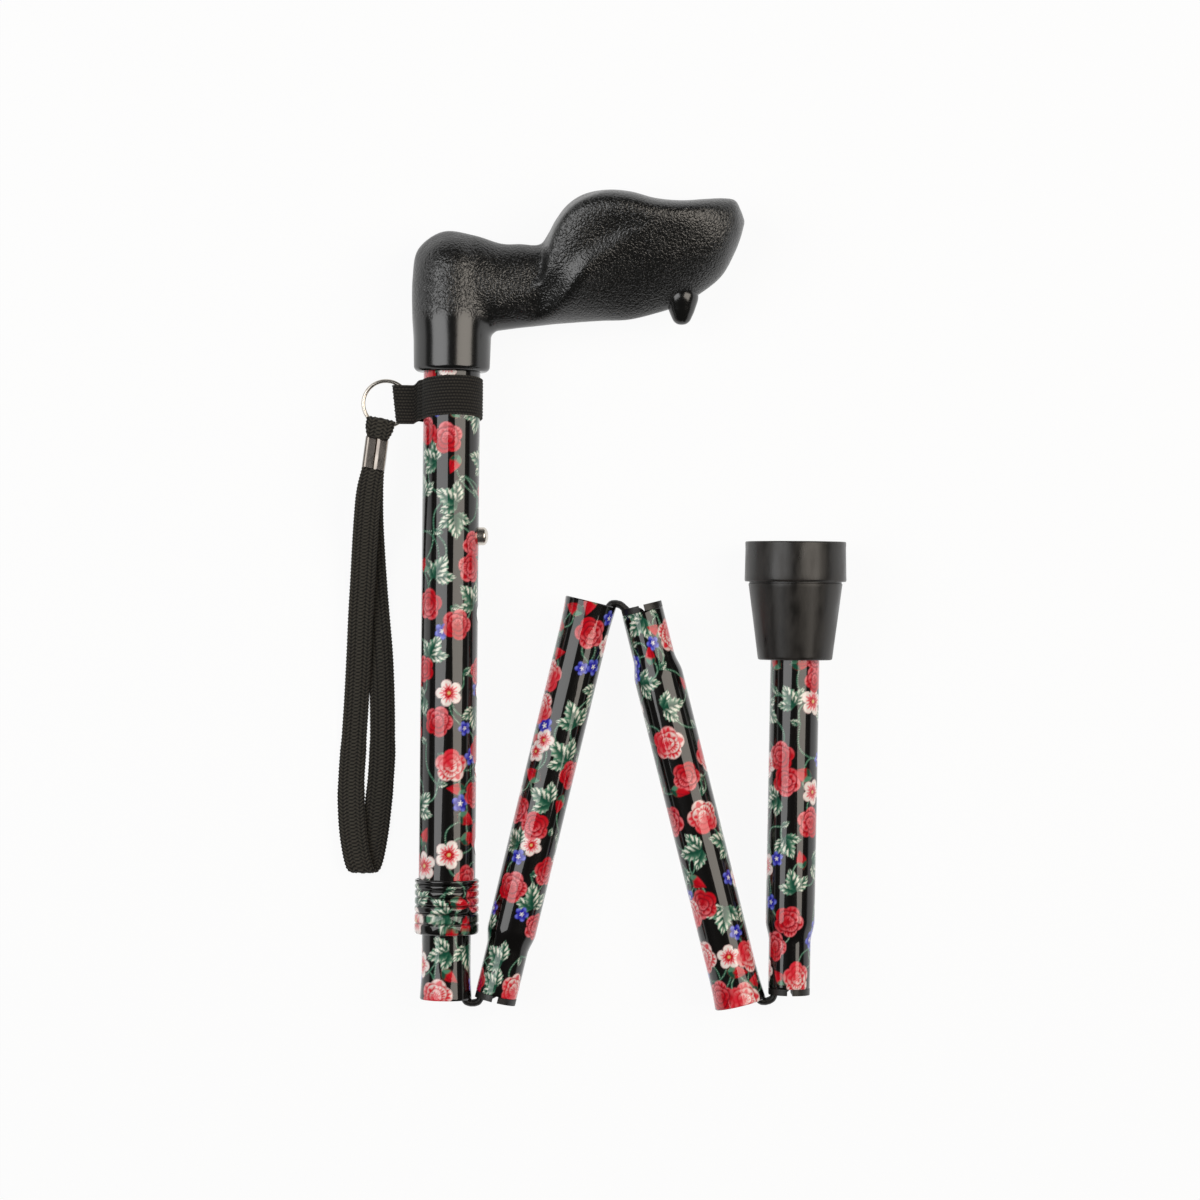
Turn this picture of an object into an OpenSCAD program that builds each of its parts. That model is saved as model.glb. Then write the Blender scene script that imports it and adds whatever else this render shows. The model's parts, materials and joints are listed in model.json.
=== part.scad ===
// Folding walking cane lying half folded: palm-grip handle, telescoping upper section,
// three lower tubes on one elastic cord, rubber ferrule and wrist strap.
// +Y runs up the upper tube and +Z up from the surface that the cane lies on.

/* [Tubes] */
// Outside diameter of the lower tubes
tube_d = 19; // [18:0.1:20]
// Wall of the lower tubes
tube_wall = 1.2; // [1:0.05:1.4]
// Wall of the upper tube
upper_wall = 1.2; // [1:0.05:1.5]
// Radial gap between the inner tube and the upper tube
slide_gap = 0.3; // [0.2:0.05:0.4]
// Length of upper tube that shows between collar and handle
upper_shows = 197; // [185:1:220]
// Length of inner tube that shows below the collar
inner_shows = 25.2; // [22:0.1:40]
// Length of a folding section from plug end to mouth
fold_length = 159.1; // [140:0.1:180]
// Length of the bottom section from plug end to ferrule
last_shows = 129.5; // [110:0.1:150]
// How far a mouth flares out beyond the tube
flare = 0.6; // [0.3:0.05:0.9]
// Length of the flare at a mouth
flare_length = 12; // [8:0.5:16]
// Length of the straight neck at a plug end
neck_length = 18; // [15:0.5:22]
// Length of the cone between neck and tube
shoulder_length = 8; // [6:0.5:10]
// Radial gap between a neck and the mouth it plugs into
plug_gap = 0.2; // [0.1:0.05:0.3]

/* [Folds] */
// Angle between upper section and second section
angle_1 = 13; // [8:0.1:60]
// Angle between second and third section
angle_2 = 27.6; // [8:0.1:60]
// Angle between third and bottom section
angle_3 = 15.1; // [8:0.1:60]
// Gap between a neck and the mouth beside it when folded flat
pivot_gap = 0.05; // [0.05:0.05:0.6]
// Distance of the fold pivot beyond a mouth
pivot_drop = 2.4; // [2:0.1:4]
// Distance of the fold pivot beyond a plug end
pivot_rise = 4; // [3.5:0.1:6]

/* [Elastic cord] */
// Diameter of the elastic cord
cord_d = 3.2; // [3:0.1:3.9]
// Clearance of the cord in slots and bores
cord_gap = 0.25; // [0.2:0.05:0.4]
// Height of the rim on a joint plug
rim_height = 2.5; // [2.2:0.1:3]

/* [Height setting] */
// Number of adjusting holes
hole_count = 5; // [3:1:5]
// Distance between adjusting holes
hole_pitch = 30; // [24:0.5:32]
// Height of the lowest hole above the collar
hole_foot = 12.8; // [10:0.1:16]
// Diameter of the snap button
button_d = 7; // [6:0.1:8]
// How far the snap button stands out of the upper tube
button_out = 4.3; // [3:0.1:5]

/* [Lock collar] */
// Height of the lock collar
collar_height = 21.3; // [19:0.1:26]
// Wall of the lock collar
collar_wall = 0.95; // [0.8:0.05:1.5]
// Number of ribs round the collar
rib_count = 5; // [3:1:8]
// Depth of the grooves between ribs
groove_depth = 0.35; // [0.2:0.05:0.4]

/* [Handle] */
// Reach of the handle from the tube axis to the tip
handle_reach = 112.6; // [100:0.1:125]
// Height of the handle above its lower rim
handle_height = 70; // [62:0.1:80]
// Bulge of the palm flap above the tube axis
grip_near = 23; // [18:0.1:26]
// Wall of the handle stem round the tube
stem_wall = 3.6; // [3:0.1:5]
// Depth of the tube in the handle
socket_depth = 40; // [30:0.5:44]

/* [Ferrule] */
// Diameter of the ferrule at its base
base_d = 39.2; // [36:0.1:42]
// Diameter of the ferrule at its narrow rim
collar_d = 28.9; // [27:0.1:31]
// Height of the ferrule
ferrule_height = 46.4; // [40:0.1:54]
// Height of the wide band at the base
base_band = 16.2; // [12:0.1:20]
// Thickness of rubber under the tube
sole = 8; // [6:0.1:10]

/* [Wrist strap] */
// Height of the elastic band round the tube
band_height = 15.4; // [12:0.1:18]
// Thickness of the elastic band
band_wall = 0.95; // [0.7:0.05:1.2]
// Gap between the elastic band and the handle
band_below = 3.3; // [1:0.1:8]
// Outside radius of the ring
ring_r = 9.55; // [9:0.05:10]
// Diameter of the ring's wire
ring_wire = 1.56; // [1.2:0.02:1.7]
// Width of the strap webbing
strap_width = 9.8; // [9:0.1:10.4]
// Thickness of the strap webbing
strap_thick = 2.2; // [1.8:0.1:2.4]
// Length of the crimp sleeve
crimp_length = 12.2; // [10:0.1:14]

/* [Hidden] */
$fn = 48;
overrun = 1;
press_gap = 0.04;
seat_gap = 0.1;
soft_gap = 0.25;

// Radii of the tubes and of what fits them
tube_r = tube_d / 2;
tube_bore = tube_r - tube_wall;
neck_r = tube_bore - plug_gap;
neck_bore = neck_r - tube_wall;
mouth_r = tube_r + flare;
upper_bore = tube_r + slide_gap;
upper_r = upper_bore + upper_wall;
cord_r = cord_d / 2;
cord_bore = cord_r + cord_gap;
neck_end = rim_height + neck_length;
shoulder_end = neck_end + shoulder_length;

// Heights above the mouth of the inner tube
collar_top = inner_shows + collar_height;
rim_at = collar_top + upper_shows;
upper_top = rim_at + socket_depth;
hole_low = collar_top + hole_foot;
button_at = hole_low + (hole_count - 1) * hole_pitch;
button_head_room = 20;
inner_length = button_at + button_head_room;

// Places of the folds: headings are measured from +Y towards +X
pivot_out = (mouth_r + neck_r) / 2 + pivot_gap;
heading_2 = angle_1;
heading_3 = heading_2 + 180 - angle_2;
heading_4 = heading_3 + 180 + angle_3;
function ahead(a) = [sin(a), cos(a)];
function aside(a) = [cos(a), -sin(a)];
mouth_1 = [0, 0];
pivot_1 = mouth_1 + pivot_out * aside(0) - pivot_drop * ahead(0);
plug_end_2 = pivot_1 + pivot_out * aside(heading_2) + pivot_rise * ahead(heading_2);
mouth_2 = plug_end_2 + fold_length * ahead(heading_2);
pivot_2 = mouth_2 + pivot_out * aside(heading_2) + pivot_drop * ahead(heading_2);
plug_end_3 = pivot_2 - pivot_out * aside(heading_3) + pivot_rise * ahead(heading_3);
mouth_3 = plug_end_3 + fold_length * ahead(heading_3);
pivot_3 = mouth_3 - pivot_out * aside(heading_3) + pivot_drop * ahead(heading_3);
plug_end_4 = pivot_3 + pivot_out * aside(heading_4) + pivot_rise * ahead(heading_4);
tip_at = last_shows + ferrule_height;
tip = plug_end_4 + tip_at * ahead(heading_4);
plug_travel = pivot_drop + pivot_rise + neck_end - tube_wall;

// Elastic band, ring and strap
band_r = upper_r + seat_gap + band_wall;
band_top = rim_at - band_below;
tab_drop = 2.2;
tab_height = 14.2;
tab_tape = 0.9;
tab_at = band_top - tab_drop - tab_height / 2;
tab_length = 10.3;
tab_reach = band_r + tab_length;
tab_half = ring_wire / 2 + seat_gap + tab_tape;
ring_mid = ring_r - ring_wire / 2;
ring_lap = 1.5;
ring_at = [ring_lap - tab_reach - ring_mid / 2, tab_at];
strap_lean = -11;
layer_gap = 0.4;
layer_at = (strap_thick + layer_gap) / 2;
eye_thick = 1.3;
eye_width = 9;
eye_corner = 1.8;
eye_half = ring_wire / 2 + soft_gap + eye_thick;
crimp_wall = 0.5;
crimp_top = 14.4;

// The strap's route round the loop: across, along and up from the ring's place on the
// resting surface, then the lift of its inner edge in degrees
strap_route = [
    [-3.9, -20.2, 18.3, 0], [-5.1, -26.5, 18.3, 0], [-6.0, -34, 15.4, 0], [-6.2, -45, 10.2, 0],
    [-5.7, -58, 5.2, 0], [-4.9, -70, 2.6, 0], [-3.9, -82, 1.5, 0], [-2.4, -98, 1.5, 0],
    [-1.2, -116, 1.5, 0], [-0.9, -134, 1.5, 0], [-1.0, -150, 1.6, 0], [-1.4, -162, 2.5, 10],
    [-1.8, -169, 3.5, 25], [-2.5, -174, 4.5, 42], [-4.2, -177.6, 5.1, 55], [-6.9, -178.9, 5.2, 58],
    [-9.6, -177.6, 5.1, 55], [-11.3, -174, 4.5, 42], [-12.0, -169, 3.5, 25], [-12.4, -162, 2.5, 10],
    [-12.6, -150, 1.6, 0], [-12.2, -134, 1.6, 0], [-11.3, -116, 2.2, 0], [-10.4, -98, 3.6, 0],
    [-9.8, -82, 4.6, 0], [-9.1, -70, 6.2, 0], [-8.4, -58, 9.2, 0], [-7.5, -45, 14.2, 0],
    [-6.5, -34, 18.8, 0], [-5.1, -26.5, 20.9, 0], [-3.9, -20.2, 20.9, 0]];

// Smooth curve through rows of numbers, with even slopes at each row
function run_lengths(p) = [for (i = 0, s = 0; i < len(p);
    s = s + (i + 1 < len(p) ? norm(p[i + 1] - p[i]) : 0), i = i + 1) s];
function slope(p, t, i) = let (a = max(i - 1, 0), b = min(i + 1, len(p) - 1))
    (p[b] - p[a]) / (t[b] - t[a]);
function between(p, t, i, f) = let (h = t[i + 1] - t[i])
    (2 * pow(f, 3) - 3 * pow(f, 2) + 1) * p[i] + (3 * pow(f, 2) - 2 * pow(f, 3)) * p[i + 1]
    + (pow(f, 3) - 2 * pow(f, 2) + f) * h * slope(p, t, i)
    + (pow(f, 3) - pow(f, 2)) * h * slope(p, t, i + 1);
function smooth(p, steps) = let (t = run_lengths(p)) concat(
    [for (i = [0:len(p) - 2]) for (k = [0:steps - 1]) between(p, t, i, k / steps)],
    [p[len(p) - 1]]);

// Closed skin over a row of rings that all have the same number of points
module loft(rings) {
    n = len(rings[0]);
    last = (len(rings) - 1) * n;
    sides = [for (i = [0:len(rings) - 2]) for (j = [0:n - 1])
        let (a = i * n + j, b = i * n + (j + 1) % n)
        each [[a, a + n, b + n], [a, b + n, b]]];
    caps = [for (j = [1:n - 2]) each [[0, j, j + 1], [last, last + j + 1, last + j]]];
    polyhedron(points = [for (ring = rings) each ring], faces = concat(sides, caps));
}

function unit(v) = v / norm(v);
function heading_at(p, i) = unit(p[min(i + 1, len(p) - 1)] - p[max(i - 1, 0)]);

// Round cord along a flat route
module flat_cord(route) {
    sides = 8;
    path = smooth([for (p = route) [p.x, p.y, 0]], 3);
    loft([for (i = [0:len(path) - 1]) let (t = heading_at(path, i), u = [t.y, -t.x, 0])
        [for (k = [0:sides - 1]) let (a = 360 * (k + 0.5) / sides)
            path[i] + cord_r * (u * cos(a) - [0, 0, sin(a)])]]);
}

// Route of the cord round one fold, from the axis of the tube before it to that of the plug
fold_dive = 26;
fold_root = 24;
lip_at = mouth_r - tube_wall / 2;
lip_turn = tube_wall / 2 + cord_r + cord_gap;
slot_at = rim_height - cord_bore;
dive_shares = [[0, 1], [0.02, 0.86], [0.45, 0.55], [0.88, 0.24], [1, 0.08]];
bend_shares = [[-0.62, 0], [-0.34, 0.02], [-0.12, 0.4], [-0.01, 1.25], [0, 2.2]];
function fold_route(mouth, out, side, plug_end, head, flank) = concat(
    [for (s = dive_shares) mouth + s.x * (lip_at - lip_turn) * side - s.y * fold_dive * out],
    [for (a = [180:30:330]) mouth + (lip_at + lip_turn * cos(a)) * side - lip_turn * sin(a) * out],
    [for (s = bend_shares) plug_end + s.x * neck_r * flank + (slot_at + s.y * cord_d) * head],
    [plug_end + fold_root * head]);
fold_1 = fold_route(mouth_1, -ahead(0), aside(0), plug_end_2, ahead(heading_2), aside(heading_2));
fold_2 = fold_route(mouth_2, ahead(heading_2), aside(heading_2),
    plug_end_3, ahead(heading_3), -aside(heading_3));
fold_3 = fold_route(mouth_3, ahead(heading_3), -aside(heading_3),
    plug_end_4, ahead(heading_4), aside(heading_4));

// The cane's frame: middle of its outline, on the surface it lies on
axis_height = base_d / 2;
left_end = ring_at.x - ring_r;
right_end = (tip + base_d / 2 * aside(heading_4)).x;
top_end = rim_at + handle_height;
bottom_end = min([for (p = concat(fold_1, fold_3)) p.y]) - cord_r;
centre = [(left_end + right_end) / 2, (bottom_end + top_end) / 2, -axis_height];

module in_frame() {
    translate(-centre) children();
}

// Children built along +Z lie along a section's axis from its plug end
module along(start, heading) {
    in_frame() translate(start) rotate(-heading) rotate([-90, 0, 0]) children();
}

module on_upper() {
    along(mouth_1, 0) children();
}

module pipe(outer, inner, length) {
    difference() {
        cylinder(r = outer, h = length);
        translate([0, 0, -overrun]) cylinder(r = inner, h = length + 2 * overrun);
    }
}

// Palm handle: each station gives the inner and outer edge as shares of reach and height,
// the depth towards and away from the viewer as shares, and how far its crown overhangs
stem_r = upper_r + press_gap + stem_wall;
stem_edge = 1;
stem_swell = 0.35;
elbow_at = 11.5;
grip_shares = [
    [0.134, 0.184, -0.1385, 0.3, 0.65, 0.77, 0], [0.1385, 0.2, -0.1385, 0.513, 0.64, 0.76, 0],
    [0.144, 0.2085, -0.12, 0.668, 0.61, 0.72, 0], [0.15, 0.2157, -0.035, 0.766, 0.58, 0.68, 0],
    [0.157, 0.22, 0.074, 0.746, 0.56, 0.66, 0], [0.164, 0.2215, 0.164, 0.703, 0.54, 0.64, 0],
    [0.231, 0.237, 0.231, 0.701, 0.53, 0.63, 0.02], [0.293, 0.2485, 0.2985, 0.701, 0.55, 0.65, 0.06],
    [0.3286, 0.2557, 0.328, 0.763, 0.64, 0.7, 0.12], [0.351, 0.26, 0.35, 0.83, 0.73, 0.76, 0.18],
    [0.391, 0.2657, 0.391, 0.917, 0.85, 0.84, 0.24], [0.444, 0.273, 0.444, 0.974, 0.94, 0.91, 0.26],
    [0.515, 0.2815, 0.515, 1, 0.98, 0.95, 0.26], [0.604, 0.2886, 0.604, 0.993, 1, 0.96, 0.26],
    [0.693, 0.323, 0.693, 0.957, 0.98, 0.95, 0.25], [0.7815, 0.3715, 0.7815, 0.9457, 0.93, 0.92, 0.22],
    [0.865, 0.453, 0.865, 0.9565, 0.85, 0.84, 0.16], [0.927, 0.5415, 0.927, 0.963, 0.72, 0.71, 0.1],
    [0.968, 0.663, 0.968, 0.9515, 0.55, 0.54, 0.05], [0.9885, 0.75, 0.9885, 0.8957, 0.32, 0.32, 0],
    [1, 0.823, 1, 0.846, 0.06, 0.06, 0]];
stem_rows = [for (s = [[0, stem_r - stem_edge], [stem_edge, stem_r], [elbow_at, stem_r + stem_swell]])
    [s[1], s[0], -s[1], s[0], s[1], s[1], 0]];
grip_rows = [for (s = grip_shares) [s[0] * handle_reach, s[1] * handle_height,
    s[2] * handle_reach, s[3] * handle_height, s[4] * grip_near, s[5] * axis_height, s[6]]];
function grip_ring(r, sides) = let (inner = [r[0], r[1], 0], outer = [r[2], r[3], 0])
    [for (k = [0:sides - 1]) let (a = 360 * k / sides)
        (inner + outer) / 2 + (outer - inner) / 2 * cos(a)
        + [0, 0, (sin(a) > 0 ? r[4] : r[5]) * sin(a) * (1 + r[6] * cos(a))]];
nub_at_shares = [0.79, 0.275];
nub_root_shares = [0.785, 0.46];
nub_base_r = 6;
nub_tip_r = 1.6;
nub_depth_share = 0.3;

module palm_handle() {
    sides = 28;
    nub = [nub_at_shares.x * handle_reach, nub_at_shares.y * handle_height];
    root = [nub_root_shares.x * handle_reach, nub_root_shares.y * handle_height];
    color("dimgray") in_frame() translate([0, rim_at, 0]) difference() {
        union() {
            loft([for (r = smooth(concat(stem_rows, grip_rows), 3)) grip_ring(r, sides)]);
            translate([nub.x, nub.y, nub_depth_share * grip_near])
                rotate(-atan2(root.x - nub.x, root.y - nub.y)) rotate([-90, 0, 0])
                cylinder(r1 = nub_tip_r, r2 = nub_base_r, h = norm(root - nub));
        }
        rotate([-90, 0, 0]) translate([0, 0, -overrun])
            cylinder(r = upper_r + press_gap, h = socket_depth + seat_gap + overrun);
    }
}

// Upper tube with its row of adjusting holes, ending inside the collar
upper_in_collar = 6;
upper_foot = collar_top - upper_in_collar;
hole_r = button_d / 2 + seat_gap;

module upper_tube() {
    color("black") on_upper() difference() {
        translate([0, 0, upper_foot]) pipe(upper_r, upper_bore, upper_top - upper_foot);
        for (i = [0:hole_count - 1]) translate([0, 0, hole_low + i * hole_pitch])
            rotate([0, 90, 0]) cylinder(r = hole_r, h = upper_r + overrun);
    }
}

// Split bush pressed over the end of the upper tube, carrying the collar's thread
sleeve_wall = 0.45;
thread_gap = 0.1;
bush_r = upper_r + press_gap + sleeve_wall;
collar_bore = bush_r + thread_gap;
collar_r = collar_bore + collar_wall;
collar_lip = 2;
clamp_height = 5;
clamp_gap = 0.2;
clamp_slit = 1.2;
bush_foot = inner_shows + collar_lip + clamp_gap + clamp_height + clamp_gap;
bush_bore = tube_r + seat_gap;
lip_bore = tube_r + slide_gap;

module lock_bush() {
    color("dimgray") on_upper() difference() {
        translate([0, 0, bush_foot]) cylinder(r = bush_r, h = collar_top - thread_gap - bush_foot);
        translate([0, 0, bush_foot - overrun])
            cylinder(r = bush_bore, h = collar_top - bush_foot + 2 * overrun);
        translate([0, 0, upper_foot - seat_gap]) cylinder(r = upper_r + press_gap, h = collar_height);
    }
}

// Split ring that the collar squeezes onto the inner tube
module clamp_ring() {
    color("black") on_upper() translate([0, 0, inner_shows + collar_lip + clamp_gap]) difference() {
        pipe(bush_r, bush_bore, clamp_height);
        translate([-bush_r - overrun, -clamp_slit / 2, -overrun])
            cube([bush_r + overrun, clamp_slit, clamp_height + 2 * overrun]);
    }
}

// Ribbed collar: plain lip at the top, ribs, then a wider rounded foot
foot_band = 5;
top_band = 1.6;

module lock_collar() {
    rib = (collar_height - foot_band - top_band) / rib_count;
    waist = collar_r - groove_depth;
    grooves = [for (i = [0:rib_count]) foot_band + i * rib];
    skin = [for (z = grooves) each [[waist, z - rib / 5], [waist - groove_depth, z],
        [waist, z + rib / 5]]];
    color("black") on_upper() translate([0, 0, inner_shows]) rotate_extrude()
        polygon(concat([[lip_bore, 0], [waist, 0], [collar_r, groove_depth],
            [collar_r, foot_band - rib / 2]], skin,
            [[waist, collar_height], [collar_bore, collar_height], [collar_bore, collar_lip],
            [lip_bore, collar_lip]]));
}

// Tube from its foot to its flared mouth at the low end
module inner_tube() {
    color("black") on_upper() difference() {
        rotate_extrude() polygon([[mouth_r, 0], [tube_r, flare_length], [tube_r, inner_length],
            [tube_bore, inner_length], [tube_bore, flare_length], [mouth_r - tube_wall, 0]]);
        translate([0, 0, button_at]) rotate([0, 90, 0]) cylinder(r = hole_r, h = tube_r + overrun);
    }
}

// Snap button with a domed end and a flange inside the tube
button_r = button_d / 2;
flange_lip = 1;
flange_r = button_r + flange_lip;
flange_thick = 1;
flange_at = sqrt(pow(tube_bore, 2) - pow(flange_r, 2)) - seat_gap;
dome_height = 1.6;
button_end = upper_r + button_out;

module snap_button() {
    dome_steps = 6;
    dome = [for (i = [0:dome_steps - 1]) let (a = 90 * i / dome_steps)
        [button_r * cos(a), button_end - dome_height + dome_height * sin(a)]];
    color("silver") on_upper() translate([0, 0, button_at]) rotate([0, 90, 0]) rotate_extrude()
        polygon(concat([[0, flange_at - flange_thick], [flange_r, flange_at - flange_thick],
            [flange_r, flange_at], [button_r, flange_at]], dome, [[0, button_end]]));
}

// Leaf spring bent to a V, from the back of the button to the far wall
spring_thick = 0.5;
spring_width = 6;
spring_foot = 9;
spring_rise = 14;

module snap_spring() {
    near = flange_at - flange_thick - seat_gap;
    far = -sqrt(pow(tube_bore, 2) - pow(spring_width / 2, 2)) + seat_gap;
    top = button_at + spring_rise;
    color("silver") on_upper() rotate([90, 0, 0]) translate([0, 0, -spring_width / 2])
        linear_extrude(spring_width) polygon([
            [near, button_at - flange_r], [near, button_at + flange_r],
            [spring_thick, top], [-spring_thick, top], [far, button_at - spring_foot],
            [far + spring_thick, button_at - spring_foot], [0, top - 2 * spring_thick],
            [near - spring_thick, button_at + flange_r], [near - spring_thick, button_at - flange_r]]);
}

// Elastic cord: straight runs in the tubes, round bends at the folds, held by knots
anchor_height = 8;
knot_r = 3.4;
knot_height = 6;
anchor_drop = 34;
end_anchor_in = 8;
anchor_at = button_at - anchor_drop;
end_anchor_at = last_shows + end_anchor_in;

module cord_run(start, heading, low, high) {
    color("black") along(start, heading) translate([0, 0, low]) cylinder(r = cord_r, h = high - low);
}

module anchor(start, heading, at) {
    color("gray") along(start, heading) translate([0, 0, at])
        pipe(tube_bore - press_gap, cord_bore, anchor_height);
}

module knot(start, heading, at) {
    color("black") along(start, heading) translate([0, 0, at + anchor_height + seat_gap])
        rotate_extrude() polygon([[cord_bore, 0], [knot_r, knot_height / 4],
            [knot_r, knot_height * 3 / 4], [cord_bore, knot_height]]);
}

module top_anchor() {
    anchor(mouth_1, 0, anchor_at);
}

module top_knot() {
    knot(mouth_1, 0, anchor_at);
}

module cord_run_1() {
    cord_run(mouth_1, 0, fold_dive + seat_gap, anchor_at + anchor_height + knot_height);
}

module cord_run_2() {
    cord_run(plug_end_2, heading_2, fold_root + seat_gap, fold_length - fold_dive - seat_gap);
}

module cord_run_3() {
    cord_run(plug_end_3, heading_3, fold_root + seat_gap, fold_length - fold_dive - seat_gap);
}

module cord_run_4() {
    cord_run(plug_end_4, heading_4, fold_root + seat_gap, end_anchor_at + anchor_height + knot_height);
}

module bottom_anchor() {
    anchor(plug_end_4, heading_4, end_anchor_at);
}

module bottom_knot() {
    knot(plug_end_4, heading_4, end_anchor_at);
}

module fold_cord_1() {
    color("black") in_frame() flat_cord(fold_1);
}

module fold_cord_2() {
    color("black") in_frame() flat_cord(fold_2);
}

module fold_cord_3() {
    color("black") in_frame() flat_cord(fold_3);
}

// Tube with a necked plug end and a flared mouth
module fold_tube(start, heading) {
    color("black") along(start, heading) rotate_extrude() polygon([
        [neck_bore, rim_height], [neck_r, rim_height], [neck_r, neck_end], [tube_r, shoulder_end],
        [tube_r, fold_length - flare_length], [mouth_r, fold_length],
        [mouth_r - tube_wall, fold_length], [tube_bore, fold_length - flare_length],
        [tube_bore, shoulder_end], [neck_bore, neck_end]]);
}

module tube_2() {
    fold_tube(plug_end_2, heading_2);
}

module tube_3() {
    fold_tube(plug_end_3, heading_3);
}

// Bottom tube, plain where it stands in the ferrule
tube_foot = tip_at - sole;
washer_thick = 1.5;

module tube_4() {
    end = tube_foot - washer_thick - seat_gap;
    color("black") along(plug_end_4, heading_4) rotate_extrude() polygon([
        [neck_bore, rim_height], [neck_r, rim_height], [neck_r, neck_end], [tube_r, shoulder_end],
        [tube_r, end], [tube_bore, end], [tube_bore, shoulder_end], [neck_bore, neck_end]]);
}

// Plug in a necked end: body in the neck, split rim, slot for the cord towards the fold
plug_short = 2;
plug_depth = neck_length - plug_short;
rim_slit = 2;
bend_room = 1.6;

module plug(start, heading, side) {
    color("dimgray") along(start, heading) difference() {
        union() {
            cylinder(r = neck_r, h = rim_height - press_gap);
            cylinder(r = neck_bore - press_gap, h = plug_depth);
        }
        translate([0, 0, -overrun]) cylinder(r = cord_bore, h = plug_depth + 2 * overrun);
        translate([-rim_slit / 2, -neck_r - overrun, -overrun])
            cube([rim_slit, 2 * (neck_r + overrun), rim_height - press_gap + overrun]);
        rotate(side) translate([0, -cord_bore, -overrun])
            cube([neck_r + overrun, 2 * cord_bore, rim_height - press_gap + overrun]);
        rotate(side) translate([0, -cord_bore, -overrun])
            cube([cord_bore + bend_room, 2 * cord_bore, rim_height + 2 * bend_room + overrun]);
    }
}

module plug_2() {
    plug(plug_end_2, heading_2, 180);
}

module plug_3() {
    plug(plug_end_3, heading_3, 0);
}

module plug_4() {
    plug(plug_end_4, heading_4, 180);
}

// Rubber ferrule with a wide base, tread grooves and a steel washer under the tube
edge = 1;
tread_shares = [0.36, 0.6, 0.82];
tread_width = 1.4;
tread_depth = 1.2;
step_share = 0.917;

module ferrule() {
    base_r = base_d / 2;
    band_at = ferrule_height - base_band;
    color("dimgray") along(plug_end_4, heading_4) translate([0, 0, last_shows]) difference() {
        rotate_extrude() polygon([[tube_r + press_gap, 0], [collar_d / 2 - edge, 0], [collar_d / 2, edge],
            [base_r * step_share, band_at], [base_r - edge / 2, band_at], [base_r, band_at + edge / 2],
            [base_r, ferrule_height - edge], [base_r - edge, ferrule_height], [0, ferrule_height],
            [0, ferrule_height - sole], [tube_r + press_gap, ferrule_height - sole]]);
        for (s = tread_shares) translate([0, 0, ferrule_height - tread_depth])
            pipe(s * base_r + tread_width / 2, s * base_r - tread_width / 2, tread_depth + overrun);
    }
}

module ferrule_washer() {
    color("silver") along(plug_end_4, heading_4) translate([0, 0, tube_foot - washer_thick])
        cylinder(r = tube_r - press_gap, h = washer_thick);
}

// Elastic band round the tube, folded out to a tab that holds the ring
module elastic_band() {
    slot_half = tab_half - tab_tape;
    slot_end = band_r + 2 * tab_tape;
    color("darkslategray") on_upper() difference() {
        union() {
            translate([0, 0, band_top - band_height]) cylinder(r = band_r, h = band_height);
            translate([0, 0, tab_at - tab_height / 2]) linear_extrude(tab_height) {
                translate([tab_half - tab_reach, 0]) circle(tab_half);
                translate([tab_half - tab_reach, -tab_half])
                    square([tab_reach - tab_half - upper_r, 2 * tab_half]);
            }
        }
        translate([0, 0, tab_at - tab_height]) linear_extrude(2 * tab_height) {
            translate([tab_half - tab_reach, 0]) circle(slot_half);
            translate([tab_half - tab_reach, -slot_half])
                square([tab_reach - tab_half - slot_end, 2 * slot_half]);
        }
        cylinder(r = upper_r + seat_gap, h = rim_at);
    }
}

module strap_ring() {
    color("silver") in_frame() translate(ring_at) rotate_extrude() translate([ring_mid, 0])
        circle(ring_wire / 2);
}

// Strap pieces by the ring: the children hang below it with the strap's lean
module below_ring() {
    in_frame() translate(ring_at) rotate(strap_lean) children();
}

// Webbing eye over the ring's wire, with both tails in the crimp
module strap_eye() {
    tail = crimp_top + crimp_length / 2;
    crown = sqrt(pow(ring_mid, 2) - pow(eye_width / 2, 2)) - ring_wire / 2 - soft_gap - eye_thick;
    inner = eye_half - eye_thick;
    near = ring_mid + ring_wire;
    color("darkslategray") below_ring() difference() {
        rotate([90, 0, 90]) translate([0, 0, -eye_width / 2]) linear_extrude(eye_width) difference() {
            union() {
                translate([-crown - eye_half, 0]) circle(eye_half);
                translate([-near, -eye_half]) square([near - crown - eye_half, 2 * eye_half]);
                polygon([[-near, -eye_half], [-near, eye_half], [-crimp_top, layer_at + strap_thick / 2],
                    [-tail, layer_at + strap_thick / 2], [-tail, -layer_at - strap_thick / 2],
                    [-crimp_top, -layer_at - strap_thick / 2]]);
            }
            translate([-crown - eye_half, 0]) circle(inner);
            translate([-near, -inner]) square([near - crown - eye_half, 2 * inner]);
            polygon([[-near, -inner], [-near, inner], [-crimp_top, layer_at - strap_thick / 2],
                [-tail - overrun, layer_at - strap_thick / 2],
                [-tail - overrun, strap_thick / 2 - layer_at], [-crimp_top, strap_thick / 2 - layer_at]]);
        }
        for (side = [-1, 1]) translate([side * eye_width / 2, -crown, 0]) rotate(45)
            cube([sqrt(2) * eye_corner, sqrt(2) * eye_corner, 4 * eye_half], center = true);
    }
}

module strap_crimp() {
    half = layer_at + strap_thick / 2 + seat_gap;
    flat = strap_width / 2 + seat_gap;
    color("silver") below_ring() translate([0, -crimp_top, 0]) rotate([90, 0, 0]) difference() {
        linear_extrude(crimp_length) square(2 * [flat + crimp_wall, half + crimp_wall], center = true);
        translate([0, 0, -overrun]) linear_extrude(crimp_length + 2 * overrun)
            square(2 * [flat, half], center = true);
    }
}

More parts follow.
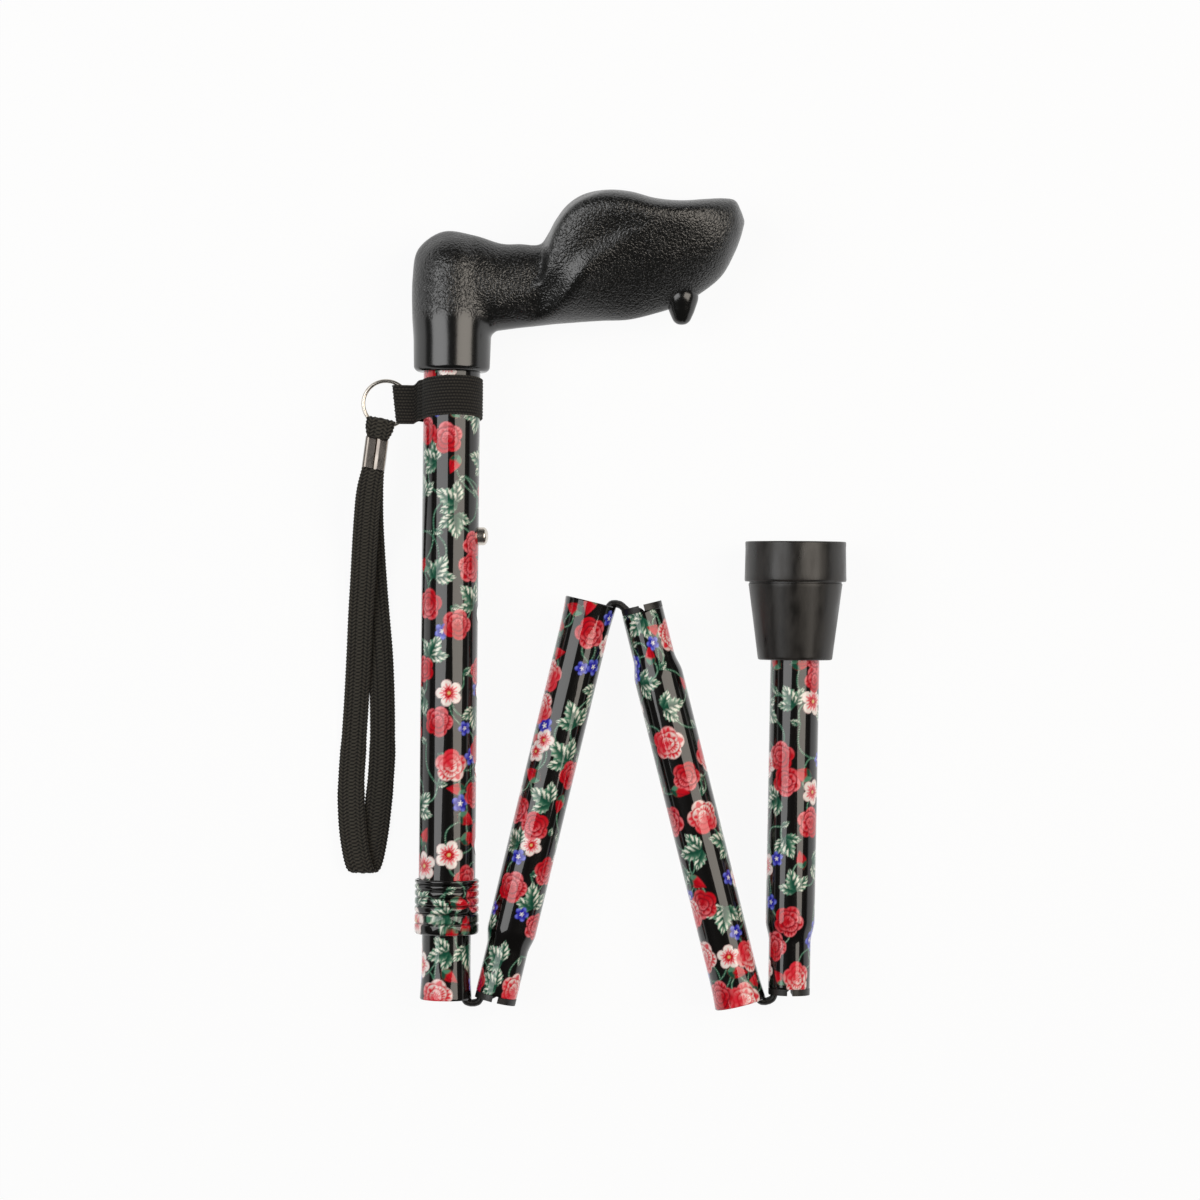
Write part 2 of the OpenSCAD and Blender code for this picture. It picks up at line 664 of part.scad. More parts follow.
module wrist_strap() {
    sides = 12;
    flatness = 0.55;
    route = smooth(strap_route, 2);
    path = [for (p = route) [p.x, p.y, p.z]];
    foot = [ring_at.x, ring_at.y, -axis_height];
    color("darkslategray") in_frame() translate(foot)
        loft([for (i = [0:len(path) - 1])
            let (t = heading_at(path, i), level = unit(cross(t, [0, 0, 1])), lift = route[i][3])
            let (w = level * cos(lift) + cross(level, t) * sin(lift), v = cross(t, w))
            [for (k = [0:sides - 1]) let (a = 360 * (k + 0.5) / sides)
                path[i] + w * strap_width / 2 * sign(cos(a)) * pow(abs(cos(a)), flatness)
                + v * strap_thick / 2 * sign(sin(a)) * pow(abs(sin(a)), flatness)]]);
}

palm_handle();
upper_tube();
lock_bush();
elastic_band();
strap_ring();
strap_eye();
strap_crimp();
wrist_strap();
clamp_ring();
lock_collar();
inner_tube();
snap_spring();
top_anchor();
top_knot();
cord_run_1();
snap_button();
fold_cord_1();
tube_2();
plug_2();
cord_run_2();
fold_cord_2();
tube_3();
plug_3();
cord_run_3();
fold_cord_3();
tube_4();
plug_4();
cord_run_4();
bottom_anchor();
bottom_knot();
ferrule_washer();
ferrule();
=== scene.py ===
"""Looks of a folding cane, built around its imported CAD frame.

Lengths are in millimetres in the CAD frame: X and Y lie along the floor, with +Y up the upper
tube, and +Z stands up from the floor towards the camera. skin() turns them to metres.
"""

import json
import math

import bpy
import numpy as np
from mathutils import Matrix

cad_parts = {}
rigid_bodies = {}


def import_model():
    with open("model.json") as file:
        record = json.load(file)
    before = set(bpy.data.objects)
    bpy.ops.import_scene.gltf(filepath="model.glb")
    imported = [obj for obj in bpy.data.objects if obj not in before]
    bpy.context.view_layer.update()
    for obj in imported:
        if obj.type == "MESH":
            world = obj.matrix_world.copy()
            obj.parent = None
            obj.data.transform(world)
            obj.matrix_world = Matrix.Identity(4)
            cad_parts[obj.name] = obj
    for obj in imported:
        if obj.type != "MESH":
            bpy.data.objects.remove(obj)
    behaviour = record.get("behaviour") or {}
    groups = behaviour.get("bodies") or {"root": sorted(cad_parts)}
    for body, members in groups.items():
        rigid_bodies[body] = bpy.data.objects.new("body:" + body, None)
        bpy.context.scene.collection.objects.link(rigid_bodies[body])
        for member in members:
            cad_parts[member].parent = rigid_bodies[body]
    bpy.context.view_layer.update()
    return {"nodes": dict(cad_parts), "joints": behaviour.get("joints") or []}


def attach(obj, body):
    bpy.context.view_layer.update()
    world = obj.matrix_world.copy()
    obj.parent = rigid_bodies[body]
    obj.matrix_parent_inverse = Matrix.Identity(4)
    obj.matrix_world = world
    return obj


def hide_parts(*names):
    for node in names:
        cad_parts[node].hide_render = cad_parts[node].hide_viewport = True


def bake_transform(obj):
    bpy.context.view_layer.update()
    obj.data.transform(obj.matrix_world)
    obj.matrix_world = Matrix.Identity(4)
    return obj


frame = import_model()
joint_at = {j["name"]: np.array(j["pos_m"]) * 1000 for j in frame["joints"] if j.get("pos_m")}

# Sizes of the cane, as in the part's source
AXIS = 19.6
TUBE_R, TUBE_BORE, NECK_R, MOUTH_R = 9.5, 8.3, 8.1, 10.1
MOUTH_BORE, NECK_BORE = MOUTH_R - 1.1, NECK_R - 1.2
UPPER_R, UPPER_BORE = 11.0, 9.8
RIM, NECK_END, SHOULDER_END = 2.5, 20.5, 28.5
FOLD, LAST, FLARE, IN_FERRULE = 159.1, 129.5, 12.0, 36
INNER_SHOWS, COLLAR_TOP, HANDLE_RIM = 25.2, 46.5, 243.5
UPPER_FOOT, UPPER_TOP, INNER_LENGTH = 40.5, 283.5, 199.3
HOLE_LOW, HOLE_PITCH, HOLE_R, HOLES = 59.3, 30.0, 3.6, 5
PIVOT_OUT, PIVOT_RISE = 9.15, 4.0
CORD_R = 1.6
RING_MID, WIRE_R = 8.77, 0.78
STRAP_WIDTH, STRAP_THICK = 9.8, 2.2

CREASE = 38  # degrees between faces that show as a sharp edge


def ahead(heading):
    """Unit step along a section: heading turns from +Y towards +X."""
    return np.array([math.sin(math.radians(heading)), math.cos(math.radians(heading))])


def aside(heading):
    """Unit step across a section, to the right of its heading."""
    return np.array([math.cos(math.radians(heading)), -math.sin(math.radians(heading))])


HEAD_2, HEAD_3, HEAD_4 = 13.0, 165.4, 360.5
mouth_1 = joint_at["collar_turn"][:2]
pivot_1, pivot_2, pivot_3 = (joint_at["fold_%d" % n][:2] for n in (1, 2, 3))
plug_end_2 = pivot_1 + PIVOT_OUT * aside(HEAD_2) + PIVOT_RISE * ahead(HEAD_2)
plug_end_3 = pivot_2 - PIVOT_OUT * aside(HEAD_3) + PIVOT_RISE * ahead(HEAD_3)
plug_end_4 = pivot_3 + PIVOT_OUT * aside(HEAD_4) + PIVOT_RISE * ahead(HEAD_4)
mouth_2 = plug_end_2 + FOLD * ahead(HEAD_2)
mouth_3 = plug_end_3 + FOLD * ahead(HEAD_3)
ring_at = joint_at["strap_swing"][:2]
SECTION_1, SECTION_2 = (mouth_1, 0.0), (plug_end_2, HEAD_2)
SECTION_3, SECTION_4 = (plug_end_3, HEAD_3), (plug_end_4, HEAD_4)


def lay(section, across, along, depth):
    """Section coordinates to the frame: start + across * aside + along * ahead, with depth above the
    axis."""
    start, heading = section
    flat = np.multiply.outer(across, aside(heading)) + np.multiply.outer(along, ahead(heading)) + start
    return np.concatenate([flat, (AXIS + np.asarray(depth))[..., None]], -1)


def read_back(section, points):
    """Frame points to section coordinates: angle round the axis from +Z, place along it, radius."""
    start, heading = section
    flat = points[:, :2] - start
    across, along, depth = flat @ aside(heading), flat @ ahead(heading), points[:, 2] - AXIS
    return np.arctan2(across, depth), along, np.hypot(across, depth)


def smooth(rows, steps):
    """Hermite curve through rows of numbers: chord length is the parameter, and the slope at a row is
    that between its two neighbours."""
    p = np.asarray(rows, float)
    t = np.concatenate([[0], np.cumsum(np.linalg.norm(np.diff(p, axis=0), axis=1))])
    low, high = np.maximum(np.arange(len(p)) - 1, 0), np.minimum(np.arange(len(p)) + 1, len(p) - 1)
    slope = (p[high] - p[low]) / (t[high] - t[low])[:, None]
    i = np.repeat(np.arange(len(p) - 1), steps)
    f = np.tile(np.arange(steps) / steps, len(p) - 1)[:, None]
    h = (t[i + 1] - t[i])[:, None]
    curve = ((2 * f**3 - 3 * f**2 + 1) * p[i] + (3 * f**2 - 2 * f**3) * p[i + 1]
             + (f**3 - 2 * f**2 + f) * h * slope[i] + (f**3 - f**2) * h * slope[i + 1])
    return np.vstack([curve, p[-1]])


def even(path, step):
    """The same path with points an even step apart, by linear places along its length."""
    t = np.concatenate([[0], np.cumsum(np.linalg.norm(np.diff(path[:, :3], axis=0), axis=1))])
    at = np.linspace(0, t[-1], max(2, round(t[-1] / step) + 1))
    return np.stack([np.interp(at, t, column) for column in path.T], -1), at


def ramp(low, high, x):
    """Smooth step 3f^2 - 2f^3 of x from low to high."""
    f = np.clip((np.asarray(x, float) - low) / (high - low), 0, 1)
    return f * f * (3 - 2 * f)


def skin(name, grid, loop=False, caps=(), crease=CREASE):
    """Mesh piece over a grid of points in mm. Columns close round, and rows too when loop is set, and
    an end row named in caps closes with a fan to its middle. If the volume, the sum of
    a . (b x c) / 6 over its faces, comes out negative, every face turns to point outwards."""
    rows, cols = grid.shape[:2]
    i = np.arange(rows if loop else rows - 1)[:, None]
    j = np.arange(cols)[None, :]
    below, beside = ((i + 1) % rows) * cols, (j + 1) % cols
    quads = np.stack([i * cols + j, i * cols + beside, below + beside, below + j], -1).reshape(-1, 4)
    points, fans = grid.reshape(-1, 3), []
    for cap in caps:
        rim = np.arange(cols) + (0 if cap == 0 else (rows - 1) * cols)
        pair = (np.roll(rim, -1), rim) if cap == 0 else (rim, np.roll(rim, -1))
        fans.append(np.stack([np.full(cols, len(points)), *pair], -1))
        points = np.vstack([points, grid[cap].mean(0)])
    fans = np.concatenate(fans) if fans else np.zeros((0, 3), int)
    triangles = points[np.concatenate([quads[:, :3], quads[:, [0, 2, 3]], fans])]
    if np.einsum("ij,ij->", triangles[:, 0], np.cross(triangles[:, 1], triangles[:, 2])) < 0:
        quads, fans = quads[:, ::-1], fans[:, ::-1]
    mesh = bpy.data.meshes.new(name)
    mesh.from_pydata(points * 0.001, [], quads.tolist() + fans.tolist())
    mesh.shade_smooth()
    mesh.set_sharp_from_angle(angle=math.radians(crease))
    piece = bpy.data.objects.new(name, mesh)
    bpy.context.scene.collection.objects.link(piece)
    return piece


def turned(section, profile, sides):
    """Grid of a profile of (radius, along) points turned round a section's axis: across = r sin(a),
    depth = r cos(a)."""
    a = 2 * np.pi * np.arange(sides) / sides
    radius, along = np.asarray(profile, float).T[:, :, None]
    return lay(section, radius * np.sin(a), along + 0 * a, radius * np.cos(a))


def swept(path, wide, thick):
    """Grid of a closed outline carried along a path. At each point the frame is the given flank w and
    the face v = t x w, t being the heading; the outline is w * wide + v * thick."""
    middle, flank = path[:, :3], path[:, 3:6]
    face = np.cross(np.gradient(middle, axis=0), flank)
    face /= np.linalg.norm(face, axis=1, keepdims=True)
    return middle[:, None] + flank[:, None] * wide[..., None] + face[:, None] * thick[..., None]


def mesh_points(piece):
    """The piece's vertices in mm."""
    flat = np.empty(3 * len(piece.data.vertices), np.float32)
    piece.data.vertices.foreach_get("co", flat)
    return flat.reshape(-1, 3).astype(float) * 1000


def store(piece, name, values):
    """Keeps one number or one colour for each vertex under an attribute's name."""
    if values.ndim == 1:
        piece.data.attributes.new(name, "FLOAT", "POINT").data.foreach_set("value", values)
    else:
        colour = np.concatenate([values, np.ones((len(values), 1))], 1)
        layer = piece.data.color_attributes.new(name, "FLOAT_COLOR", "POINT")
        layer.data.foreach_set("color", colour.ravel())


def settle(piece, body, material, slot, *nodes):
    """Gives a piece its material, lets it ride on a body and stand for CAD nodes. The slot is not used.
    """
    piece.data.materials.append(material)
    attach(piece, body)
    if nodes:
        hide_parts(*nodes)


def tone(code):
    """sRGB hex code to linear red, green and blue."""
    c = np.array([int(code[k:k + 2], 16) for k in (1, 3, 5)]) / 255
    return np.where(c <= 0.04045, c / 12.92, ((c + 0.055) / 1.055) ** 2.4)


def add(tree, kind, inputs=None, **settings):
    """Adds one shader node: settings are its properties, and an input takes a value or a socket."""
    made = tree.nodes.new("ShaderNode" + kind)
    for key, value in settings.items():
        setattr(made, key, value)
    for key, value in (inputs or {}).items():
        if isinstance(value, bpy.types.NodeSocket):
            tree.links.new(value, made.inputs[key])
        else:
            made.inputs[key].default_value = value
    return made


def finish(name):
    """A new material's node tree, emptied, with its output."""
    material = bpy.data.materials.new(name)
    material.use_nodes = True
    material.node_tree.nodes.clear()
    return material, material.node_tree, add(material.node_tree, "OutputMaterial")


def rgba(code):
    """sRGB hex code as a linear colour socket's value."""
    return (*tone(code), 1.0)


PER_MM = 1000.0  # pattern scale for one repeat a millimetre, as Object coordinates are in metres


# Printed and lacquered aluminium tube: the print lies under a clear, hard, glossy coat
def lacquered_print():
    material, tree, out = finish("lacquered_print")
    ink = add(tree, "Attribute", attribute_name="print")
    place = add(tree, "TexCoord")
    # Lacquer flow: faint waves about 5 mm across
    flow = add(tree, "TexNoise", {"Vector": place.outputs["Object"], "Scale": PER_MM / 5,
                                  "Detail": 1.0})
    bump = add(tree, "Bump", {"Height": flow.outputs["Fac"], "Strength": 0.25, "Distance": 0.00005})
    shader = add(tree, "BsdfPrincipled", {
        "Base Color": ink.outputs["Color"], "Roughness": 0.3, "Specular IOR Level": 0.08,
        "Coat Weight": 1.0, "Coat Roughness": 0.04, "Coat IOR": 1.55,
        "Coat Normal": bump.outputs["Normal"]})
    tree.links.new(shader.outputs[0], out.inputs[0])
    return material


# Moulded ABS with a leather grain, glossier where the mould was polished
def grained_plastic():
    material, tree, out = finish("grained_black_plastic")
    place = add(tree, "TexCoord")
    grain = add(tree, "Attribute", attribute_name="grain")
    # Worm-like wrinkles about 0.5 mm wide and 1 mm long
    warp = add(tree, "TexNoise", {"Vector": place.outputs["Object"], "Scale": PER_MM / 1.2,
                                  "Detail": 1.0})
    shift = add(tree, "VectorMath", {0: warp.outputs["Color"], "Scale": 0.0014}, operation="SCALE")
    moved = add(tree, "VectorMath", {0: place.outputs["Object"], 1: shift.outputs["Vector"]})
    cells = add(tree, "TexVoronoi", {"Vector": moved.outputs["Vector"], "Scale": PER_MM / 0.8,
                                     "Smoothness": 0.5}, feature="SMOOTH_F1")
    height = add(tree, "Math", {0: cells.outputs["Distance"], 1: grain.outputs["Fac"]},
                 operation="MULTIPLY")
    bump = add(tree, "Bump", {"Height": height.outputs[0], "Strength": 1.0, "Distance": 0.00022},
               invert=True)
    gloss = add(tree, "MapRange", {"Value": grain.outputs["Fac"], "To Min": 0.2, "To Max": 0.29})
    shader = add(tree, "BsdfPrincipled", {
        "Base Color": rgba("#0a0a09"), "Roughness": gloss.outputs[0], "IOR": 1.68,
        "Normal": bump.outputs["Normal"]})
    tree.links.new(shader.outputs[0], out.inputs[0])
    return material


# Knitted nylon and ribbed elastic: dull yarn with a soft sheen, its colour darker in the gaps between
# stitches as painted shade
def yarn(name, low, high, pitch):
    material, tree, out = finish(name)
    place = add(tree, "TexCoord")
    depth = add(tree, "Attribute", attribute_name="stitch")
    fuzz = add(tree, "TexNoise", {"Vector": place.outputs["Object"], "Scale": PER_MM / pitch,
                                  "Detail": 3.0})
    uneven = add(tree, "Math", {0: fuzz.outputs["Fac"], 1: 0.3, 2: depth.outputs["Fac"]},
                 operation="MULTIPLY_ADD")
    # Low stitch height takes the dark low colour: painted shade in the gaps between stitches
    shade = add(tree, "ValToRGB", {"Fac": uneven.outputs[0]})
    shade.color_ramp.elements[0].position, shade.color_ramp.elements[0].color = 0.22, rgba(low)
    shade.color_ramp.elements[1].position, shade.color_ramp.elements[1].color = 0.8, rgba(high)
    bump = add(tree, "Bump", {"Height": fuzz.outputs["Fac"], "Strength": 0.6, "Distance": 0.0002})
    shader = add(tree, "BsdfPrincipled", {
        "Base Color": shade.outputs["Color"], "Roughness": 0.8, "Sheen Weight": 0.1,
        "Sheen Roughness": 0.5, "Specular IOR Level": 0.3, "Normal": bump.outputs["Normal"]})
    tree.links.new(shader.outputs[0], out.inputs[0])
    return material


# Plain solids: two near tones in soft blotches, and a fine surface grain, its size and depth in mm
def plain(name, code, worn, metallic, rough, grain, depth, stretch=(1, 1, 1)):
    material, tree, out = finish(name)
    place = add(tree, "TexCoord")
    drawn = add(tree, "Mapping", {"Vector": place.outputs["Object"], "Scale": stretch})
    speck = add(tree, "TexNoise", {"Vector": drawn.outputs["Vector"], "Scale": PER_MM / grain,
                                   "Detail": 3.0})
    blotch = add(tree, "TexNoise", {"Vector": drawn.outputs["Vector"], "Scale": PER_MM / (grain * 5),
                                    "Detail": 2.0})
    bump = add(tree, "Bump", {"Height": speck.outputs["Fac"], "Strength": 0.5,
                              "Distance": depth / 1000})
    gloss = add(tree, "MapRange", {"Value": blotch.outputs["Fac"], "From Min": 0.3, "From Max": 0.7,
                                   "To Min": rough * 0.75, "To Max": rough * 1.25})
    shade = add(tree, "ValToRGB", {"Fac": blotch.outputs["Fac"]})
    shade.color_ramp.elements[0].position, shade.color_ramp.elements[0].color = 0.3, rgba(code)
    shade.color_ramp.elements[1].position, shade.color_ramp.elements[1].color = 0.7, rgba(worn)
    shader = add(tree, "BsdfPrincipled", {
        "Base Color": shade.outputs["Color"], "Metallic": metallic, "Roughness": gloss.outputs[0],
        "Normal": bump.outputs["Normal"]})
    tree.links.new(shader.outputs[0], out.inputs[0])
    return material


PRINTED = lacquered_print()
GRIP = grained_plastic()
# The first colour of each yarn is the painted shade in the gaps between stitches
WEBBING = yarn("knitted_nylon_webbing", "#040403", "#423f38", 0.35)
ELASTIC = yarn("ribbed_elastic", "#080807", "#37342f", 0.3)
# Ring and button: bright, slightly warm plate
NICKEL = plain("bright_nickel_plate", "#dcd6cd", "#cfc8be", 1.0, 0.24, 0.8, 0.001)
# Crimp: a darker, greyer plate
SLEEVE = plain("dull_nickel_sleeve", "#8c857e", "#77706a", 1.0, 0.19, 1.2, 0.004)
# Spring and washer: plain grey, hidden inside
STEEL = plain("spring_steel", "#a9a8a6", "#989693", 1.0, 0.3, 0.5, 0.006)
# Ferrule: satin black, with a faint grey bloom drawn out along the mould
RUBBER = plain("moulded_rubber", "#161412", "#2a2724", 0.0, 0.36, 0.9, 0.03, (1, 0.35, 1))
# Plugs and lock: dull black moulding
NYLON = plain("moulded_nylon", "#131211", "#1e1c1a", 0.0, 0.4, 0.7, 0.03)
# Elastic cord: black, dull and a little uneven
SHOCK_CORD = plain("braided_elastic_cord", "#121110", "#1d1b19", 0.0, 0.5, 0.6, 0.08)

# The print: blooms, blossoms, buds and leaves on black
INK = {key: tone(code) for key, code in {
    "black": "#0a0807", "red": "#cf0019", "deep": "#8c0018", "coral": "#ec2c3e", "pink": "#fb8088",
    "blush": "#fff4ee", "white": "#fdfbf6", "green": "#12503c", "mint": "#6fae8d", "cream": "#fafbec",
    "blue": "#241fb4", "sky": "#7d88f4", "straw": "#f0d888"}.items()}
BARE_METAL = tone("#77767a")


def cover(gap, soft=0.4):
    """How much ink covers a point, from its distance in mm outside an outline."""
    return np.clip(0.5 - gap / soft, 0, 1)


def leaflet(x, y, size):
    """Pointed leaf: half width 0.3 L sin(pi t^0.8) with a toothed edge. Cream strokes run from the rib
    to the edge, cos(2 pi (4 t - 1.3 side)) > 0, and thin out towards the stalk."""
    t = np.clip(y / size, 0, 1)
    half = 0.3 * size * np.sin(np.pi * t**0.8) * (1 + 0.12 * np.cos(10 * np.pi * t))
    body = cover(np.maximum(np.abs(x) - half, np.maximum(-y, y - size)))
    side = np.abs(x) / (half + 0.3)
    stroke = np.cos(2 * np.pi * (4 * t - 1.3 * side))
    reach = np.clip(1.3 * side + 1.8 * t - 0.8 + 0.45 * np.sign(x), 0, 1)
    pale = body * np.clip(0.55 + 1.9 * stroke, 0, 1) * reach
    return [("green", body), ("mint", 0.75 * body * np.clip(t + side - 0.5, 0, 1)), ("cream", pale),
            ("green", body * cover(np.abs(x) - 0.18, 0.3))]


def spray(x, y, size):
    """Three leaflets from one stalk, spread by 58 degrees."""
    layers = []
    for turn, share in ((-1.02, 1.05), (1.02, 1.1), (0.0, 1.3)):
        c, s = math.cos(turn), math.sin(turn)
        low = y + 0.5 * size
        layers += leaflet(x * c - low * s, x * s + low * c, share * size)
    return layers


def blossom(x, y, size):
    """Five petals: outline (0.62 + 0.38 |cos 2.5a|) R, white strokes in from the tips, red throat."""
    r, a = np.hypot(x, y), np.arctan2(x, y)
    petal = size * (0.62 + 0.38 * np.abs(np.cos(2.5 * a)) ** 0.6)
    body = cover(r - petal)
    tips = body * np.clip((r / petal - 0.56 - 0.14 * np.cos(15 * a)) / 0.1, 0, 1)
    throat = cover(r - size * (0.36 + 0.16 * np.cos(20 * a) * np.abs(np.cos(2.5 * a))))
    parting = body * cover(np.abs(np.cos(2.5 * a)) * r - 0.2, 0.5) * np.clip(r / size * 2 - 0.5, 0, 1)
    return [("pink", body), ("blush", tips), ("red", throat), ("red", parting),
            ("straw", cover(r - 0.12 * size))]


def bloom(x, y, size):
    """Full round flower, red or, when large, coral, of three rings of petals. A ring's edge is
    k R (0.8 + 0.2 |cos(n a)|); a dark gap lies round it and strokes of light run in from it."""
    r, a = np.hypot(x, y), np.arctan2(x, y)
    body, light, dark = ("red", "pink", "deep") if size < 6.3 else ("coral", "blush", "red")
    layers = []
    for share, petals, phase in ((1.0, 2.5, 0.2), (0.7, 2.0, 1.1), (0.38, 1.5, 2.0)):
        notch = np.abs(np.cos(petals * a + phase))
        rim = share * size * (0.78 + 0.22 * notch ** 0.7)
        inside = cover(r - rim)
        stroke = 0.55 + 0.45 * np.cos(15 * a + 4 * np.sin(2 * a + phase))
        lit = inside * np.clip(1.4 - (rim - r) / (0.22 * size * stroke + 0.2), 0, 1)
        lit = lit * np.clip(0.6 + 0.6 * np.cos(a + 0.8 + phase / 3), 0, 1)
        seam = inside * cover(notch * r - 0.22, 0.4) * np.clip(r / (share * size) * 2 - 0.7, 0, 1)
        shade = 0.8 * inside * np.clip((rim - r) / (0.3 * size) - 0.5, 0, 1)
        if share < 1:
            layers.append((dark, 0.9 * cover(r - rim - 0.5)))
        layers += [(body, inside), (dark, shade), (light, 0.9 * lit), (dark, seam)]
    return layers


def bud(x, y, size):
    """Closed bud: two red petals lapping, half width 0.55 L sin(pi t^0.65), in a green cup."""
    t = np.clip((y + 0.9 * size) / (1.9 * size), 0, 1)
    half = 0.55 * size * np.sin(np.pi * t**0.65)
    body = cover(np.maximum(np.abs(x) - half, np.abs(y) - size))
    lap = body * cover(np.abs(x - 0.25 * size * np.sin(3 * t)) - 0.17, 0.4)
    lit = body * np.clip(-x / (half + 0.3) * 1.5 - 0.4, 0, 1)
    cup = body * np.clip((0.34 - t) * 8 + 2.2 * np.abs(x) / size, 0, 1) * np.clip((0.5 - t) * 6, 0, 1)
    return [("red", body), ("coral", lit), ("deep", lap), ("green", cup), ("mint", cup * (x < 0) * 0.6)]


def bluet(x, y, size):
    """Small blue flower of five petals with paler tips and a white eye."""
    r, a = np.hypot(x, y), np.arctan2(x, y)
    petal = size * (0.6 + 0.4 * np.abs(np.cos(2.5 * a)) ** 0.7)
    body = cover(r - petal)
    tips = body * np.clip((r / petal - 0.5) / 0.35, 0, 1) * (0.5 + 0.5 * np.cos(5 * a - 0.8))
    eye = cover(r - size * (0.22 + 0.12 * np.cos(5 * a)))
    return [("blue", body), ("sky", tips), ("white", eye)]


# Motif, smallest and largest size in mm, and how many there are on 1000 square millimetres
MOTIFS = ((bloom, 5.2, 6.8, 1.6), (spray, 6.6, 8.6, 2.1), (blossom, 4.2, 5.6, 1.1),
          (bud, 3.8, 5.0, 1.3), (bluet, 2.7, 3.7, 1.0), (leaflet, 3.5, 5.0, 1.5))
TRIES, SPACING = 900, 0.66  # places tried for each motif; share of two sizes that they keep apart
TENDRIL_NEAR, TENDRIL_FAR, TENDRIL_ROOM = 5, 16, 14  # mm between its ends, and about its middle


def printed(arc, along, girth, low, high, seed):
    """Colours of the print at points unrolled to (arc, along) in mm. Motifs drop at seeded places that
    keep apart by their sizes, tendrils run between near ones, and each is inked over the last."""
    rng = np.random.default_rng(seed)
    paint = np.tile(INK["black"], (len(arc), 1))
    placed = []
    for motif, small, large, share in MOTIFS:
        wanted = share * girth * (high - low) / 1000
        for x, y, size, turn in rng.uniform((0, low, small, 0), (girth, high, large, 6.28), (TRIES, 4)):
            clear = [math.hypot((x - p[1] + girth / 2) % girth - girth / 2, y - p[2])
                     > SPACING * (size + p[3]) for p in placed]
            if wanted > 0 and all(clear):
                placed.append((motif, x, y, size, turn))
                wanted -= 1

    def ink_in(colour, amount, spot):
        paint[spot] += (INK[colour] - paint[spot]) * amount[:, None]

    for k, (_, x, y, _, turn) in enumerate(placed):
        near = [p for p in placed[k + 1:]
                if abs(p[1] - x) < TENDRIL_FAR and TENDRIL_NEAR < abs(p[2] - y) < TENDRIL_FAR]
        for _, x2, y2, _, turn2 in near[:2]:
            f = np.linspace(0, 1, 26)[:, None]
            line = np.array([x, y]) * (1 - f) + np.array([x2, y2]) * f
            line += np.sin(np.pi * f) * np.array([[y2 - y, x - x2]]) * math.sin(turn + turn2) / 3
            spot = np.flatnonzero(np.abs(along - (y + y2) / 2) < TENDRIL_ROOM)
            dx = (arc[spot, None] - line[:, 0] + girth / 2) % girth - girth / 2
            gap = np.hypot(dx, along[spot, None] - line[:, 1]).min(1)
            ink_in("green", cover(gap - 0.4), spot)
            ink_in("mint", 0.85 * cover(gap - 0.2), spot)
            ink_in("cream", 0.7 * cover(gap - 0.05, 0.3), spot)
    order = (leaflet, spray, bud, bluet, blossom, bloom)
    for motif, x, y, size, turn in sorted(placed, key=lambda p: order.index(p[0])):
        dx = (arc - x + girth / 2) % girth - girth / 2
        spot = np.flatnonzero((np.abs(dx) < 1.9 * size) & (np.abs(along - y) < 1.9 * size))
        c, s = math.cos(turn), math.sin(turn)
        px, py = dx[spot] * c - (along[spot] - y) * s, dx[spot] * s + (along[spot] - y) * c
        for colour, amount in motif(px, py, size):
            ink_in(colour, amount, spot)
    return paint


def rows_along(profile, fine, step):
    """A profile of (radius, along) with points added every step mm between the along values of fine."""
    radius, along = np.array(profile, float).T
    low, high = fine
    inside = np.linspace(low, high, round((high - low) / step) + 1)
    keep = (along < low) | (along > high)
    at = np.sort(np.concatenate([along[keep], inside]))
    return np.stack([np.interp(at, along, radius), at], -1)


DRILL_FROM, DRILL_TO = 4.0, 14.0  # mm from the tube's axis


def printed_tube(name, section, outer, bore, fine, step, seed, holes=()):
    """Tube whose skin is a fine turned grid and whose bore is two rows, so that the profile closes.
    Holes are cut through its right side, then every outer point is painted."""
    rows = rows_along(outer, fine, step)
    back = [(bore(at), at) for at in (rows[-1, 1], rows[0, 1])]
    sides = round(2 * np.pi * rows[:, 0].max() / step)
    piece = skin(name, turned(section, np.vstack([rows, back]), sides), loop=True)
    if len(holes):
        a = np.linspace(0, 2 * np.pi, 40, endpoint=False)
        for k, at in enumerate(holes):
            across = np.array([DRILL_FROM, DRILL_TO])[:, None] + 0 * a
            drill = skin("drill_%d" % k, lay(section, across, at + HOLE_R * np.cos(a) + 0 * across,
                                             HOLE_R * np.sin(a) + 0 * across), caps=(0, -1))
            cut = piece.modifiers.new("hole_%d" % k, "BOOLEAN")
            cut.object, cut.solver = drill, "EXACT"
        graph = bpy.context.evaluated_depsgraph_get()
        bored = bpy.data.meshes.new_from_object(piece.evaluated_get(graph))
        piece.modifiers.clear()
        piece.data = bored
        for k in range(len(holes)):
            bpy.data.objects.remove(bpy.data.objects["drill_%d" % k])
        piece.data.set_sharp_from_angle(angle=math.radians(CREASE))
    angle, along, radius = read_back(section, mesh_points(piece))
    girth = 2 * np.pi * TUBE_R if rows[:, 0].max() < UPPER_R else 2 * np.pi * rows[:, 0].max()
    paint = printed(angle / (2 * np.pi) * girth, along, girth, fine[0], fine[1], seed)
    outside = radius > np.interp(along, rows[:, 1], rows[:, 0]) - 0.1
    paint[~outside] = BARE_METAL
    store(piece, "print", paint)
    return piece


# Tubes: flared mouths, and necks drawn down by a smooth S
upper = printed_tube("upper_tube_print", SECTION_1, [(UPPER_R, UPPER_FOOT), (UPPER_R, UPPER_TOP)],
                     lambda at: UPPER_BORE, (COLLAR_TOP - 4, HANDLE_RIM + 1.5), step=0.4, seed=29,
                     holes=HOLE_LOW + HOLE_PITCH * np.arange(HOLES))
settle(upper, "upper", PRINTED, "printed_tube", "upper_tube")

